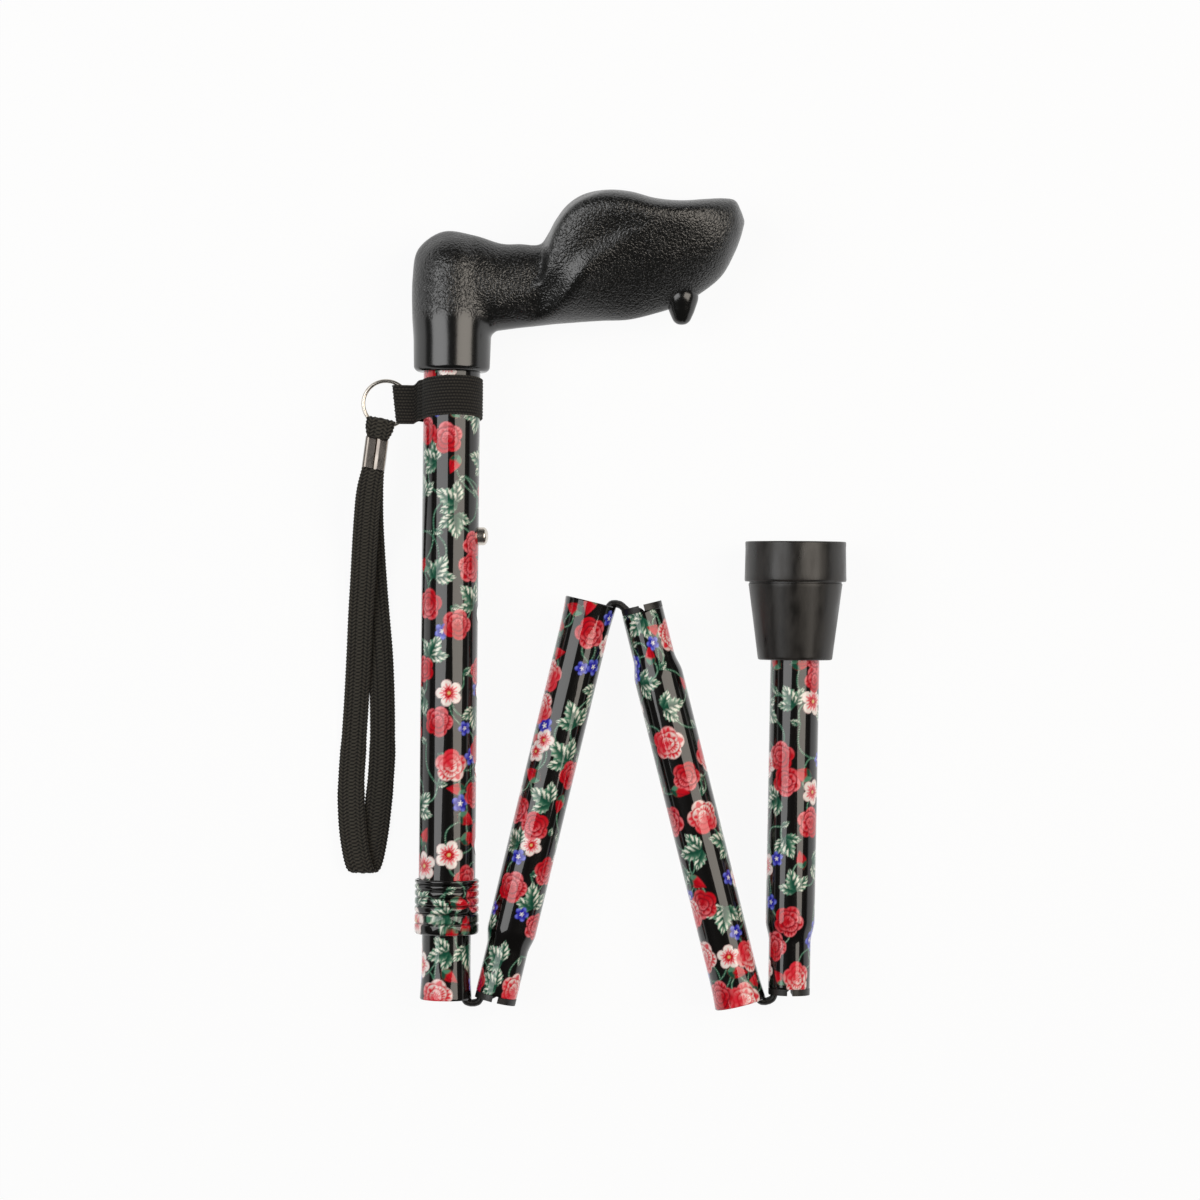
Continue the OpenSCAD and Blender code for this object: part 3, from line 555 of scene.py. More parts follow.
flare = [(MOUTH_R - 0.25, 0.0)]
flare += [(TUBE_R + (MOUTH_R - TUBE_R) * (1 - t) ** 1.6, 0.25 + FLARE * t)
          for t in np.linspace(0, 1, 9)]
inner = printed_tube("inner_tube_print", SECTION_1, flare + [(TUBE_R, INNER_LENGTH)],
                     lambda at: TUBE_BORE if at > FLARE else MOUTH_BORE, (0, 155), step=0.4, seed=23)
settle(inner, "inner", PRINTED, "printed_tube", "inner_tube")

shoulder = [(NECK_R + (TUBE_R - NECK_R) * ramp(0, 1, t), NECK_END + (SHOULDER_END - NECK_END) * t)
            for t in np.linspace(0, 1, 13)]
neck = [(NECK_R - 0.2, RIM), (NECK_R, RIM + 0.2)] + shoulder
mouth = [(radius, FOLD - at) for radius, at in flare[::-1]]
for number, section, seed in ((2, SECTION_2, 32), (3, SECTION_3, 28)):
    tube = printed_tube("tube_%d_print" % number, section, neck + mouth,
                        lambda at: MOUTH_BORE if at > FOLD / 2 else NECK_BORE, (RIM, FOLD),
                        step=0.36, seed=seed)
    settle(tube, "section_%d" % number, PRINTED, "printed_tube", "tube_%d" % number)
tube = printed_tube("tube_4_print", SECTION_4, neck + [(TUBE_R, LAST + IN_FERRULE)],
                    lambda at: TUBE_BORE if at > FOLD / 2 else NECK_BORE, (RIM, LAST + 2),
                    step=0.36, seed=11)
settle(tube, "section_4", PRINTED, "printed_tube", "tube_4")

# Lock collar: top lip, four soft ribs, then a wide foot with one groove and rounded edges
COLLAR_H = COLLAR_TOP - INNER_SHOWS
rib_at = np.linspace(8.4, 19.6, 75)
GROOVES = (4.35, 8.3, 11.3, 14.5, 17.4, 19.7)
groove = sum(np.exp(-((rib_at - middle) / 0.4) ** 2) for middle in GROOVES[1:])
bulge = np.abs(np.sin(np.interp(rib_at, GROOVES[1:], np.arange(5)) * np.pi)) ** 0.7
collar_skin = ([(9.95, 0.0), (11.2, 0.0), (11.9, 0.2), (12.3, 0.65), (12.48, 1.4), (12.5, 3.4),
                (12.45, 3.9), (12.1, 4.2), (12.1, 4.5), (12.45, 4.9), (12.5, 5.4), (12.48, 7.2),
                (12.35, 7.8), (12.1, 8.15)]
               + list(zip(12.2 + 0.26 * bulge - 0.42 * np.minimum(groove, 1), rib_at))
               + [(12.2, 19.9), (12.42, 20.15), (12.45, 20.6), (12.36, 21.0), (12.1, 21.2),
                  (11.7, COLLAR_H), (11.6, COLLAR_H - 0.05), (11.6, 2.0), (9.95, 2.0)])
collar_rows = np.array(collar_skin) + (0, INNER_SHOWS)
collar = skin("lock_collar_print", turned(SECTION_1, collar_rows, 176), loop=True, crease=60)
angle, along, radius = read_back(SECTION_1, mesh_points(collar))
GIRTH, COLLAR_SEED = 2 * np.pi * 12.2, 61
collar_paint = printed(angle / (2 * np.pi) * GIRTH, along, GIRTH, INNER_SHOWS, COLLAR_TOP, COLLAR_SEED)
# The print is darkened by up to three quarters along each groove: painted shade in the grooves
groove_shade = sum(np.exp(-((along - INNER_SHOWS - middle) / 0.35) ** 2) for middle in GROOVES)
store(collar, "print", collar_paint * (1 - 0.75 * np.minimum(groove_shade, 1))[:, None])
settle(collar, "collar", PRINTED, "printed_collar", "lock_collar")

# Palm handle. Its stem runs on as a post that ends in a ball, and its rounded rim lies below HANDLE_RIM
REACH, HEIGHT, NEAR = 112.6, 70.0, 23.0
STEM_R, POST_R, BALL_AT = 14.64, 15.0, 38.0
RIM_ROUND, RIM_DROP = 2.2, 0.8
# Rows of inner edge (x, y), outer edge (x, y), depth near and far, as shares of REACH, HEIGHT, NEAR and
# AXIS, and overhang of the crown
GRIP_ROWS = np.array([
    [0.134, 0.184, -0.1385, 0.3, 0.65, 0.77, 0], [0.1385, 0.2, -0.1385, 0.513, 0.64, 0.76, 0],
    [0.144, 0.2085, -0.12, 0.668, 0.61, 0.72, 0], [0.15, 0.2157, -0.035, 0.766, 0.58, 0.68, 0],
    [0.157, 0.22, 0.074, 0.746, 0.56, 0.66, 0], [0.164, 0.2215, 0.164, 0.703, 0.54, 0.64, 0],
    [0.231, 0.237, 0.231, 0.701, 0.53, 0.63, 0.02], [0.293, 0.2485, 0.2985, 0.701, 0.55, 0.65, 0.06],
    [0.3286, 0.2557, 0.328, 0.763, 0.64, 0.7, 0.12], [0.351, 0.26, 0.35, 0.83, 0.73, 0.76, 0.18],
    [0.391, 0.2657, 0.391, 0.917, 0.85, 0.84, 0.24], [0.444, 0.273, 0.444, 0.974, 0.94, 0.91, 0.26],
    [0.515, 0.2815, 0.515, 1, 0.98, 0.95, 0.26], [0.604, 0.2886, 0.604, 0.993, 1, 0.96, 0.26],
    [0.693, 0.323, 0.693, 0.957, 0.98, 0.95, 0.25], [0.7815, 0.3715, 0.7815, 0.9457, 0.93, 0.92, 0.22],
    [0.865, 0.453, 0.865, 0.9565, 0.85, 0.84, 0.16], [0.927, 0.5415, 0.927, 0.963, 0.72, 0.71, 0.1],
    [0.968, 0.663, 0.968, 0.9515, 0.55, 0.54, 0.05], [0.9885, 0.75, 0.9885, 0.8957, 0.32, 0.32, 0],
    [1, 0.823, 1, 0.846, 0.06, 0.06, 0]]) * (REACH, HEIGHT, REACH, HEIGHT, NEAR, AXIS, 1)


def side_of(line, x, y):
    """Distance in mm from a bent line to each point, positive to the right of the line's run."""
    a, b = line[:-1], line[1:]
    d = b - a
    px, py = x[..., None] - a[:, 0], y[..., None] - a[:, 1]
    f = np.clip((px * d[:, 0] + py * d[:, 1]) / (d**2).sum(1), 0, 1)
    gap = np.hypot(px - f * d[:, 0], py - f * d[:, 1])
    k = gap.argmin(-1)[..., None]
    turn = np.take_along_axis(py * d[:, 0] - px * d[:, 1], k, -1)
    return np.take_along_axis(gap, k, -1)[..., 0] * np.where(turn[..., 0] < 0, 1, -1)


FLAP_EDGE = smooth([(31.0, 32.0), (34.2, 36.0), (35.2, 40.3), (35.6, 46.9), (36.8, 51.5), (40.3, 58.1),
                    (46.9, 64.7), (60.0, 70.5)], 6)
SHELF = smooth([(28.0, 20.0), (35.6, 22.5), (43.0, 31.0), (47.6, 37.6), (53.4, 43.1), (60.0, 48.0),
                (69.3, 52.7)], 6)


def handle_relief(x, y):
    """Height in mm added to the near side: a step up to the flap at its edge, falling off inwards as
    exp(-d / 5), and a shelf k d exp(-(d / 5.4)^2) that winds under it, d being the distance to its
    line."""
    edge, shelf = side_of(FLAP_EDGE, x, y), side_of(SHELF, x, y)
    shown = ramp(29, 40, y)
    flap = shown * (ramp(-0.8, 2.2, edge) * 2.6 * np.exp(-np.maximum(edge, 0) / 5)
                    - 2.2 * (1 - ramp(-0.8, 2.2, edge)) * np.exp(np.minimum(edge, 0) / 6))
    level = (0.42 - 0.1 * ramp(40, 58, x)) * ramp(26, 34, x) * (1 - ramp(60, 80, x))
    return flap + level * shelf * np.exp(-(shelf / 5.4) ** 2)


def palm_handle():
    """Loft of rings between inner and outer edge: mid + half cos(a), depth sin(a) (1 + crown cos(a)).
    Where the flap is, the near side rises to a lip, sqrt(1 - c^7) (1 + rise c) with c = cos(a), and the
    relief lies on it. The post is joined on by (d + p + sqrt((d - p)^2 + 0.3)) / 2, a soft maximum."""
    bend = np.linspace(0, np.pi / 2, 7)
    stem = [(STEM_R - RIM_ROUND * (1 - math.sin(b)), RIM_ROUND * (1 - math.cos(b)) - RIM_DROP)
            for b in bend]
    stem += [(STEM_R + 0.2, 7.0), (STEM_R + 0.35, 11.5)]
    rows = np.vstack([[(r, z, -r, z, r, r, 0) for r, z in stem], GRIP_ROWS])
    r = smooth(rows, 7)[:, None, :]
    a = 2 * np.pi * np.arange(168) / 168
    c, s = np.cos(a), np.sin(a)
    flat = (r[..., :2] + r[..., 2:4]) / 2 + (r[..., 2:4] - r[..., :2]) / 2 * c[:, None]
    rise = 0.08 + 0.36 * ramp(42, 72, flat[..., 0])
    arch = np.where(c > 0, np.sqrt(1 - np.abs(c) ** 7), np.abs(s))
    lipped = arch * (0.98 - 0.36 * rise) * (1 + rise * c)
    flap = np.minimum(r[..., 6] / 0.22, 1)
    near = r[..., 4] * ((1 - flap) * np.abs(s) * (1 + r[..., 6] * c) + flap * lipped)
    depth = np.where(s > 0, near, r[..., 5] * s * (1 + r[..., 6] * c))
    x, y = flat[..., 0], flat[..., 1]
    depth = depth + handle_relief(x, y) * ramp(0.05, 0.5, s)
    rounding = 1 - np.clip((y + RIM_DROP) / RIM_ROUND, 0, 1)
    foot = POST_R - RIM_ROUND * (1 - np.sqrt(1 - rounding**2))
    post = np.sqrt(np.maximum(foot**2 - x**2 - np.maximum(y - BALL_AT, 0) ** 2, 0))
    depth = np.where(s > 0, (depth + post + np.sqrt((depth - post) ** 2 + 0.3)) / 2, depth)
    piece = skin("palm_handle_grained", lay(SECTION_1, x, HANDLE_RIM + y, depth), caps=(0, -1),
                 crease=70)
    rim = np.where(x > 38, ramp(0.99, 0.95, c), 1)
    textured = ramp(18, 25, y + 0.1 * np.abs(x)) * rim * ramp(6.5, 9, np.hypot(x - 89, y - 22))
    textured = textured * (1 - 0.45 * np.exp(-(side_of(SHELF, x, y) / 4.5) ** 2) * ramp(30, 36, x))
    store(piece, "grain", np.concatenate([textured.ravel(), [0.0, 1.0]]))
    return piece


settle(palm_handle(), "upper", GRIP, "grip", "palm_handle")

# Finger nub under the grip: a short rounded cone that spreads into the handle
NUB_OUT, NUB_UP, NUB_LIFT = 88.7, 18.4, 1.2
nub_place = (mouth_1 + (NUB_OUT, HANDLE_RIM + NUB_UP), 0.0)
nub_skin = [(0.5, 0.0), (1.5, 0.2), (2.4, 0.7), (3.2, 1.5), (4.0, 3.1), (4.8, 4.9), (5.4, 6.7),
            (6.2, 9.2), (6.4, 11.5), (5.6, 14.0), (4.0, 17.0)]
nub_grid = turned(nub_place, smooth(nub_skin, 4), 48) + (0, 0, NUB_LIFT)
nub = skin("finger_nub", nub_grid, caps=(0, -1))
store(nub, "grain", np.zeros(len(nub.data.vertices)))
settle(nub, "upper", GRIP, "grip")

# Elastic band: one ribbed strip round the tube, pinched together into a tab that holds the ring
BAND_R, BAND_MID, BAND_H = UPPER_R + 0.58, HANDLE_RIM - 11.0, 15.2
TAB_END, TAB_HALF, TAB_DROP = -20.57, 7.5, 2.5
front = [(TAB_END - 1.33, 0.0), (TAB_END - 0.95, 0.95), (TAB_END, 1.33), (-17.5, 1.2), (-14.6, 0.8),
         (-13.2, 1.0), (-12.35, 2.3)]
front += [(BAND_R * math.sin(b), BAND_R * math.cos(b)) for b in np.radians(np.arange(-72, 91, 9))]
half = smooth(np.array([(x, z, 0.0) for x, z in front]), 6)
keyhole = np.vstack([half, half[-2:0:-1] * (1, -1, 1)])
strip, strip_at = even(np.vstack([keyhole, keyhole[:1]]), 0.24)
strip, strip_at = strip[:-1], strip_at[:-1]
heading = np.roll(strip, -1, 0) - np.roll(strip, 1, 0)
heading /= np.linalg.norm(heading, axis=1, keepdims=True)
normal = np.stack([-heading[:, 1], heading[:, 0]], -1)
level = np.concatenate([np.linspace(-1, 1, 121), np.linspace(1, -1, 14)])
outer = np.concatenate([np.ones(121), -np.ones(14)])
RIBS, WEAVE = 12.5, 1.2
ribs = level * RIBS / 2
stitch = (0.5 + 0.5 * np.cos(2 * np.pi * ribs)) * (
    0.62 + 0.38 * np.cos(2 * np.pi * (strip_at[:, None] / WEAVE + 0.5 * np.round(ribs))))
stitch = np.where(outer > 0, stitch, 0.3)
thickness = outer * 0.46 + np.where(outer > 0, 0.3 * stitch - 0.15, 0) - 0.25 * np.abs(level) ** 24
lean = np.arctan2(strip[:, 0], strip[:, 1])
on_tab = ramp(-12.5, -15.0, strip[:, 0])
lift = (1.6 * np.cos(lean) - 0.6 + 0.4 * np.sin(lean)) * (1 - on_tab) - TAB_DROP * on_tab
tall = BAND_H / 2 * (1 - on_tab) + TAB_HALF * on_tab
slant = -0.12 * ramp(-14, -22, strip[:, 0])[:, None] * level * 7
band_grid = lay(SECTION_1, strip[:, :1] + normal[:, :1] * thickness + slant,
                BAND_MID + lift[:, None] + tall[:, None] * level + 0 * slant,
                strip[:, 1:2] + normal[:, 1:2] * thickness)
band = skin("elastic_band_ribbed", band_grid, loop=True, crease=70)
store(band, "stitch", stitch.ravel())
settle(band, "upper", ELASTIC, "elastic", "elastic_band")

# Wire ring, resting a little low in the tab
RING_SHIFT = (-0.2, -0.6)
a = np.linspace(0, 2 * np.pi, 120, endpoint=False)[:, None]
b = np.linspace(0, 2 * np.pi, 18, endpoint=False)[None, :]
wire = RING_MID + WIRE_R * np.cos(b)
ring_x, ring_y = ring_at + RING_SHIFT
ring_grid = np.stack([ring_x + wire * np.cos(a), ring_y + wire * np.sin(a),
                      AXIS + WIRE_R * np.sin(b) + 0 * a], -1)
settle(skin("wire_ring", ring_grid, loop=True), "upper", NICKEL, "nickel", "strap_ring")

# Knitted webbing: an outline of two flat faces, with rows of stitches that wave across its wales
ROW_PITCH, WALE = 1.4, 1.63


def knit(path, width, thick, step=0.3, sides=72):
    """Sweep of the outline (W c^0.7, T s^0.45) along a path. Stitches raise it by 0.45 h, h = g v:
    g = 0.15 + 0.85 |sin(pi w / wale)|^0.8 is the rib of a wale and its row is
    v = (1 + cos 2 pi (s / row + zig)) / 2, with zig = 0.38 cos(pi w / wale). Returns the grid, the
    stitch height and the line."""
    line, at = even(path, step)
    a = 2 * np.pi * (np.arange(sides) + 0.5) / sides
    c, s = np.cos(a), np.sin(a)
    wide = np.interp(at / at[-1], np.linspace(0, 1, len(width)), width)[:, None] / 2
    w = np.sign(c) * np.abs(c) ** 0.7 * wide
    rib = 0.15 + 0.85 * np.abs(np.sin(np.pi * w / WALE)) ** 0.8
    row = 0.5 + 0.5 * np.cos(2 * np.pi * (at[:, None] / ROW_PITCH + 0.38 * np.cos(np.pi * w / WALE)))
    height = rib * row
    t = np.sign(s) * np.abs(s) ** 0.45 * (thick / 2 - 0.3 + 0.45 * height)
    w = w + np.sign(c) * 0.3 * (row - 0.5) * np.abs(c) ** 4
    return swept(line, w, t), height.ravel(), line


STRAP_ROUTE = np.array([
    [-3.9, -20.2, 18.3], [-5.1, -26.5, 18.3], [-6.0, -34, 15.4], [-6.2, -45, 10.2], [-5.7, -58, 5.2],
    [-4.9, -70, 2.6], [-3.9, -82, 1.5], [-2.4, -98, 1.4], [-1.5, -117, 1.4], [-1.3, -136, 1.4],
    [-1.9, -148, 1.4], [-2.7, -157, 1.4], [-3.9, -168, 1.4], [-5.4, -177, 1.4], [-6.6, -181.3, 1.5],
    [-7.4, -182.4, 2.0], [-8.1, -182.7, 2.75], [-8.8, -182.4, 3.5], [-9.6, -181.3, 4.0],
    [-10.8, -177, 4.1], [-12.3, -168, 4.0], [-13.1, -158, 3.2], [-13.3, -148, 1.9], [-12.7, -136, 1.6],
    [-11.6, -117, 2.2], [-10.7, -98, 3.6], [-10.1, -82, 4.6], [-9.4, -70, 6.2], [-8.7, -58, 9.2],
    [-7.7, -45, 14.2], [-6.5, -34, 18.8], [-5.1, -26.5, 20.9], [-3.9, -20.2, 20.9]])
route = smooth(STRAP_ROUTE, 12) + (*ring_at, 0)
flank = np.tile([-1.0, 0, 0], (len(route), 1))
half_wide = [7.6, 8.6, 9.4] + [STRAP_WIDTH] * 18 + [10.3] * 3 + [10.7] * 6
strap_grid, strap_stitch, strap_line = knit(np.hstack([route, flank]), half_wide + half_wide[::-1],
                                            STRAP_THICK)
strap = skin("wrist_strap_knitted", strap_grid, caps=(0, -1), crease=80)
store(strap, "stitch", np.concatenate([strap_stitch, [0.5, 0.5]]))
settle(strap, "strap", WEBBING, "webbing", "wrist_strap")

# Eye of webbing over the ring's wire, and the nickel crimp that holds both layers
LEAN = 11.0
lean_x, lean_y = aside(LEAN), ahead(LEAN)


def hang(x, y, depth):
    """Coordinates below the ring, with the strap's lean, to the frame."""
    flat = np.multiply.outer(x, lean_x) + np.multiply.outer(y, lean_y) + ring_at
    return np.concatenate([flat, (AXIS + np.asarray(depth))[..., None]], -1)


over = [(-8.8 + 1.6 * math.sin(b), 1.6 * math.cos(b)) for b in np.radians(np.arange(0, 181, 15))]
eye_side = np.array([(-20.3, 1.3), (-17, 1.3), (-14.6, 1.4), (-11.6, 1.95), (-10.0, 2.0)] + over
                    + [(-10.0, -2.0), (-11.6, -1.95), (-14.6, -1.4), (-17, -1.3), (-20.3, -1.3)])
eye_curve = smooth(eye_side, 5)
eye_path = hang(0 * eye_curve[:, 0] - 0.7, eye_curve[:, 0], eye_curve[:, 1])
eye_flank = np.tile([*lean_x, 0.0], (len(eye_path), 1))
eye_grid, eye_stitch, _ = knit(np.hstack([eye_path, eye_flank]),
                               [7.4, 7.4, 10.6, 11.2, 10.6, 7.4, 7.4], 1.55)
eye = skin("strap_eye_knitted", eye_grid, caps=(0, -1), crease=80)
store(eye, "stitch", np.concatenate([eye_stitch, [0.5, 0.5]]))
settle(eye, "strap", WEBBING, "webbing", "strap_eye")

# Crimp sleeve: its front is two pillows, and each rises from a rounded left edge to a square right one
CRIMP_HALF = 4.5
PILLOW = [(0, 0), (0.12, 0.45), (1.05, 0.8), (1.4, 0.87), (4.38, 0.95), (CRIMP_HALF, 0)]
a = np.linspace(0, 2 * np.pi, 128, endpoint=False)
crimp_x = CRIMP_HALF * np.cos(a)
raised = np.interp(np.where(crimp_x < 0, crimp_x + CRIMP_HALF, crimp_x), *np.transpose(PILLOW))
crimp_z = np.sign(np.sin(a)) * (2.15 + 0.85 * raised)
crimp_z *= (1 - np.abs(np.cos(a)) ** np.where(crimp_x < 0, 14, 70)) ** 0.5
CRIMP_ROWS = [(-14.6, 0.9), (-14.45, 0.97), (-14.6, 1.0), (-15.1, 1.0), (-20.4, 1.0), (-26.0, 1.0),
              (-26.5, 1.0), (-26.65, 0.97), (-26.5, 0.9), (-14.8, 0.88)]
at, share = np.array(CRIMP_ROWS).T[:, :, None]
crimp_grid = hang(crimp_x * share - 0.07 * (at + 20.5) - 0.3, at + 0 * a, crimp_z * share)
settle(skin("crimp_sleeve", crimp_grid, loop=True, crease=50), "strap", SLEEVE, "nickel", "strap_crimp")

# Snap button: a plated stud with a domed head
STUD_R, FLANGE_R, STUD_FOOT, STUD_TIP = 3.5, 4.5, 5.85, 14.7
dome = [(STUD_R * math.cos(b), 12.9 + 1.8 * math.sin(b)) for b in np.linspace(0.1, np.pi / 2, 10)]
stud = [(0.02, STUD_FOOT), (FLANGE_R, STUD_FOOT), (FLANGE_R, 6.75), (STUD_R, 6.85), (STUD_R, 12.8)]
stud_r, stud_out = np.array(stud + dome[:-1] + [(0.02, STUD_TIP)]).T[:, :, None]
a = np.linspace(0, 2 * np.pi, 48, endpoint=False)
BUTTON_AT = HOLE_LOW + HOLE_PITCH * (HOLES - 1)
button_grid = lay(SECTION_1, stud_out + 0 * a, BUTTON_AT + stud_r * np.cos(a), stud_r * np.sin(a))
settle(skin("snap_button_plated", button_grid, caps=(0, -1)), "button", NICKEL, "nickel", "snap_button")

# Elastic cord round each fold, from the axis of one tube over its lip into the next plug
DIVE, ROOT = 26.0, 24.0
LIP, LIP_TURN, LIP_DROP, LIP_OUT = MOUTH_R - 0.6, 2.8, 1.45, 0.8
SLOT = RIM - 0.8 * CORD_R
DIVE_SHARES = ((0, 1), (0.02, 0.86), (0.45, 0.55), (0.88, 0.24), (1, 0.08))
BEND_SHARES = ((-0.62, 0), (-0.34, 0.02), (-0.12, 0.4), (-0.01, 1.25), (0, 2.2))


def fold_cord(number, mouth, out, side, plug_end, head, flank):
    """Cord swept along the fold's route, drawn flat over the tube's lip and in the plug's slot, with
    a fine plait cos(6a + ks) cos(6a - ks) along it."""
    points = [mouth + x * (LIP - LIP_TURN) * side - y * DIVE * out for x, y in DIVE_SHARES]
    points += [mouth + (LIP + LIP_OUT + LIP_TURN * math.cos(a)) * side - LIP_DROP * math.sin(a) * out
               for a in np.radians(np.arange(180, 331, 30))]
    points += [plug_end + x * NECK_R * flank + (SLOT + y * 3.2) * head for x, y in BEND_SHARES]
    curve = smooth(np.array(points + [plug_end + ROOT * head]), 8)
    path = np.hstack([curve, np.full((len(curve), 1), AXIS), np.tile([0, 0, 1.0], (len(curve), 1))])
    line, at = even(path, 0.35)
    a = 2 * np.pi * np.arange(28) / 28
    plait = 0.06 * np.cos(6 * a + at[:, None] * 2.2) * np.cos(6 * a - at[:, None] * 2.2)
    spots = ((mouth + LIP * side, 5), (plug_end - 0.4 * NECK_R * flank, 3))
    pressed, slotted = (np.exp(-(np.linalg.norm(line[:, :2] - spot, axis=1) / reach) ** 2)[:, None]
                        for spot, reach in spots)
    r = CORD_R - 0.05 + plait
    grid = swept(line, r * (1 + 0.3 * pressed) * np.cos(a),
                 r * (1 - 0.08 * pressed - 0.2 * slotted) * np.sin(a))
    piece = skin("fold_cord_%d_plaited" % number, grid, caps=(0, -1))
    piece.data.materials.append(SHOCK_CORD)
    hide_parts("fold_cord_%d" % number)
    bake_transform(piece)


fold_cord(1, mouth_1, -ahead(0), aside(0), plug_end_2, ahead(HEAD_2), aside(HEAD_2))
fold_cord(2, mouth_2, ahead(HEAD_2), aside(HEAD_2), plug_end_3, ahead(HEAD_3), -aside(HEAD_3))
fold_cord(3, mouth_3, ahead(HEAD_3), -aside(HEAD_3), plug_end_4, ahead(HEAD_4), aside(HEAD_4))

# Rubber ferrule: tapered sleeve, wide band at the base, ring grooves in the sole
FERRULE_H, SLEEVE_R, STEP_AT = 45.8, 14.4, 30.2
ferrule_skin = [(TUBE_R + 0.1, 0.2), (SLEEVE_R - 0.9, 0.0), (SLEEVE_R - 0.3, 0.12), (SLEEVE_R, 0.5),
                (SLEEVE_R + 0.1, 1.2), (18.0, STEP_AT - 2.2), (18.15, STEP_AT - 1.2),
                (18.15, STEP_AT - 0.7), (17.85, STEP_AT - 0.5), (17.85, STEP_AT),
                (18.4, STEP_AT + 0.05), (19.35, STEP_AT + 0.1), (19.6, STEP_AT + 0.3),
                (19.72, STEP_AT + 0.9), (19.65, STEP_AT + 3), (19.45, FERRULE_H - 3),
                (19.5, FERRULE_H - 1.0), (19.5, FERRULE_H - 0.35), (19.3, FERRULE_H - 0.05),
                (18.9, FERRULE_H)]
for middle in (16.1, 11.8, 7.1):
    ferrule_skin += [(middle + 0.9, FERRULE_H), (middle + 0.6, FERRULE_H - 1.1),
                     (middle - 0.6, FERRULE_H - 1.1), (middle - 0.9, FERRULE_H)]
ferrule_skin += [(0.02, FERRULE_H), (0.02, FERRULE_H - 8), (TUBE_R + 0.1, FERRULE_H - 8)]
FERRULE_PLACE = (plug_end_4 + LAST * ahead(HEAD_4), HEAD_4 - 0.7)
ferrule_grid = turned(FERRULE_PLACE, ferrule_skin, 144)
ferrule = skin("ferrule_moulded", ferrule_grid, loop=True, crease=42)
settle(ferrule, "section_4", RUBBER, "rubber", "ferrule")

# CAD pieces that stay: plugs, and what works inside
STAYING = {NYLON: ("plug_2", "plug_3", "plug_4", "lock_bush", "clamp_ring", "top_anchor",
                   "bottom_anchor"),
           SHOCK_CORD: ("cord_run_1", "cord_run_2", "cord_run_3", "cord_run_4", "top_knot",
                        "bottom_knot"),
           STEEL: ("snap_spring", "ferrule_washer")}
for finish_of, names in STAYING.items():
    for name in names:
        frame["nodes"][name].data.materials.clear()
        frame["nodes"][name].data.materials.append(finish_of)

# Floor: white paper, which the camera sees nearly unshaded so that only a faint shadow is left
FLOOR_HALF, FLOOR_SUNK, PAPER_GLOW = 4, 0.0002, 0.93
corners = [(x * FLOOR_HALF, y * FLOOR_HALF, -FLOOR_SUNK)
           for x, y in ((-1, -1), (1, -1), (1, 1), (-1, 1))]
floor_mesh = bpy.data.meshes.new("paper_floor")
floor_mesh.from_pydata(corners, [], [(0, 1, 2, 3)])
floor = bpy.data.objects.new("paper_floor", floor_mesh)
bpy.context.scene.collection.objects.link(floor)
paper, tree, out = finish("white_paper")
seen = add(tree, "LightPath")
matt = add(tree, "BsdfDiffuse", {"Color": rgba("#f4f4f4")})
white = add(tree, "Emission", {"Color": (1, 1, 1, 1), "Strength": 1.0})
direct = seen.outputs["Is Camera Ray"]
for ray in ("Is Glossy Ray", "Is Transmission Ray"):
    direct = add(tree, "Math", {0: direct, 1: seen.outputs[ray]}, operation="MAXIMUM").outputs[0]
share = add(tree, "Math", {0: direct, 1: PAPER_GLOW}, operation="MULTIPLY")
mixed = add(tree, "MixShader", {"Fac": share.outputs[0], 1: matt.outputs[0], 2: white.outputs[0]})
tree.links.new(mixed.outputs[0], out.inputs[0])
floor_mesh.materials.append(paper)

# Light: two soft boxes left and right above the cane, leaning apart, with a dark gap between them
scene = bpy.context.scene
BOX_FAR, BOX_WIDE, BOX_LONG, BOX_TILT, BOX_SPIN = 1.3, 1.0, 0.95, 34.2, 23.0
BOX_OUT, BOX_UP = 0.095, 0.22


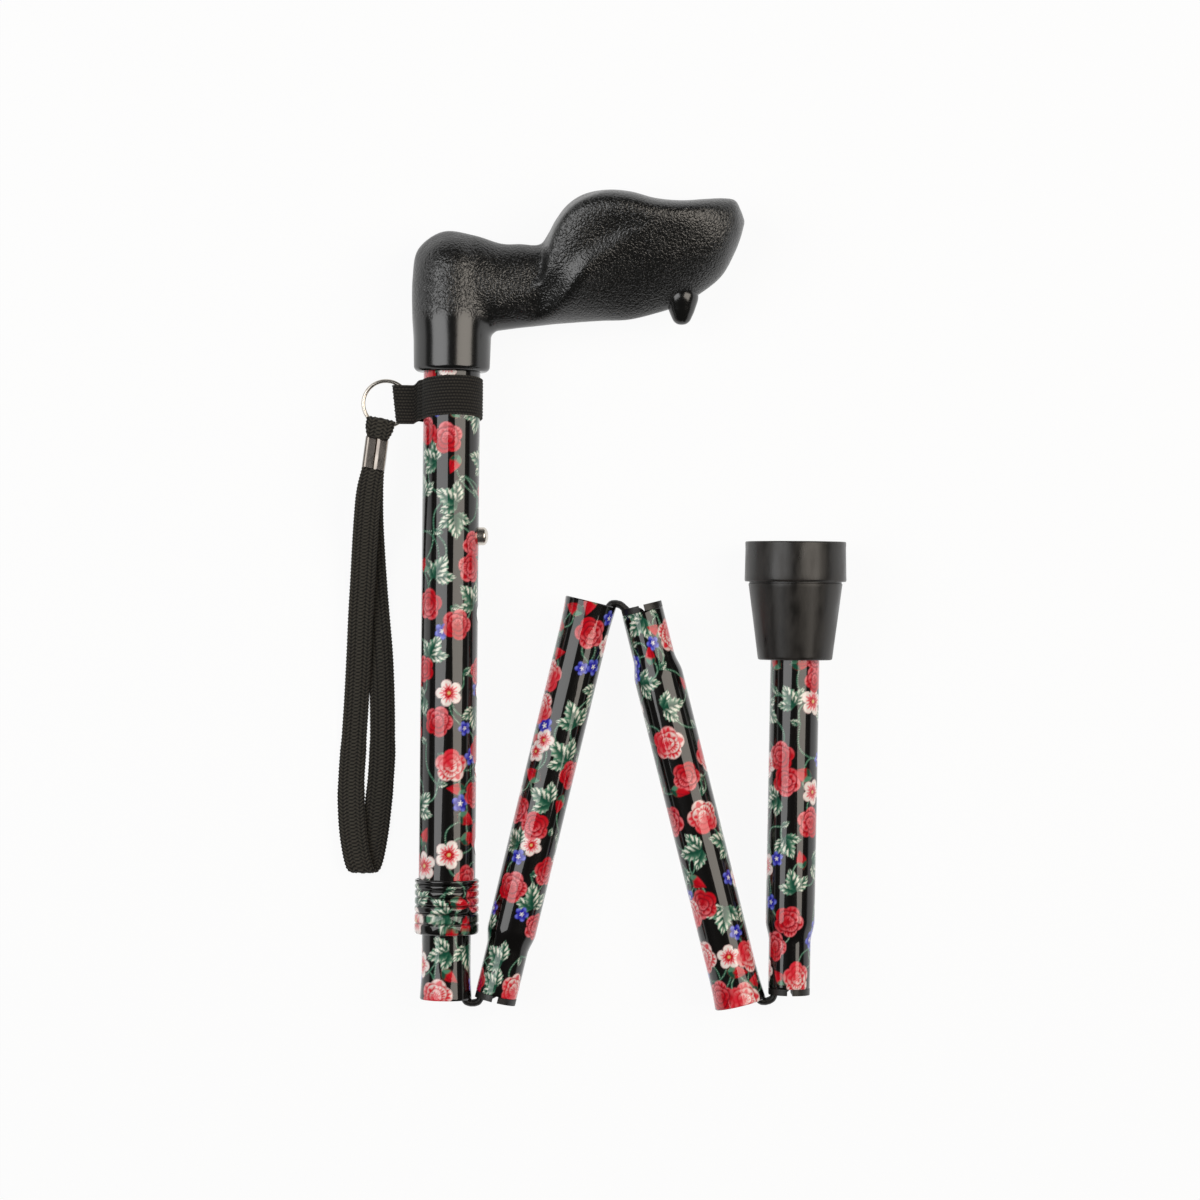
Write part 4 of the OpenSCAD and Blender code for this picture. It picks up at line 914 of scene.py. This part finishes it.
def soft_box(name, side, power, colour):
    """Rectangle lamp facing the cane: turned in its plane, moved out and up there, then tilted."""
    lamp = bpy.data.lights.new(name, "AREA")
    lamp.shape, lamp.size, lamp.size_y = "RECTANGLE", BOX_WIDE, BOX_LONG
    lamp.energy, lamp.color = power, tone(colour)
    holder = bpy.data.objects.new(name, lamp)
    tilt = math.radians(BOX_TILT) * side
    across = BOX_FAR * math.sin(tilt) + side * BOX_OUT * math.cos(tilt)
    height = BOX_FAR * math.cos(tilt) - side * BOX_OUT * math.sin(tilt)
    holder.location = (across, BOX_UP, AXIS / 1000 + height)
    holder.rotation_mode = "ZYX"
    holder.rotation_euler = (0, tilt, -side * math.radians(BOX_SPIN))
    scene.collection.objects.link(holder)


soft_box("left_soft_box", -1, 9.0, "#ffffff")
soft_box("right_soft_box", 1, 10.5, "#fff6ea")
room = bpy.data.worlds.new("room")
room.use_nodes = True
tree = room.node_tree
tree.nodes.clear()
# The room is white low down and dark overhead, so the gloss shows the soft boxes alone
WHITE_BELOW, DARK_ABOVE, OVERHEAD = 0.04, 0.2, 0.05
way = add(tree, "SeparateXYZ", {"Vector": add(tree, "TexCoord").outputs["Generated"]})
level_of = add(tree, "MapRange", {"Value": way.outputs["Z"], "From Min": WHITE_BELOW,
                                  "From Max": DARK_ABOVE, "To Min": 1.0, "To Max": OVERHEAD})
sky = add(tree, "Background", {"Color": (1, 1, 1, 1), "Strength": level_of.outputs[0]})
tree.links.new(sky.outputs[0], add(tree, "OutputWorld").inputs[0])
scene.world = room

# Camera straight above, turned half a degree, as in the photograph
CAMERA_FAR, FRAME_WIDE, ROLL, SENSOR = 1.5, 0.4648, 0.57, 36.0
AIM = (58.2, 155.07)  # mm right of the inner tube's mouth and above it
lens = bpy.data.cameras.new("camera")
lens.sensor_width, lens.lens = SENSOR, SENSOR * CAMERA_FAR / FRAME_WIDE
camera = bpy.data.objects.new("camera", lens)
camera.location = (*(mouth_1 + AIM) / 1000, AXIS / 1000 + CAMERA_FAR)
camera.rotation_euler = (0, 0, math.radians(ROLL))
scene.collection.objects.link(camera)
scene.camera = camera
scene.view_settings.view_transform = "Standard"
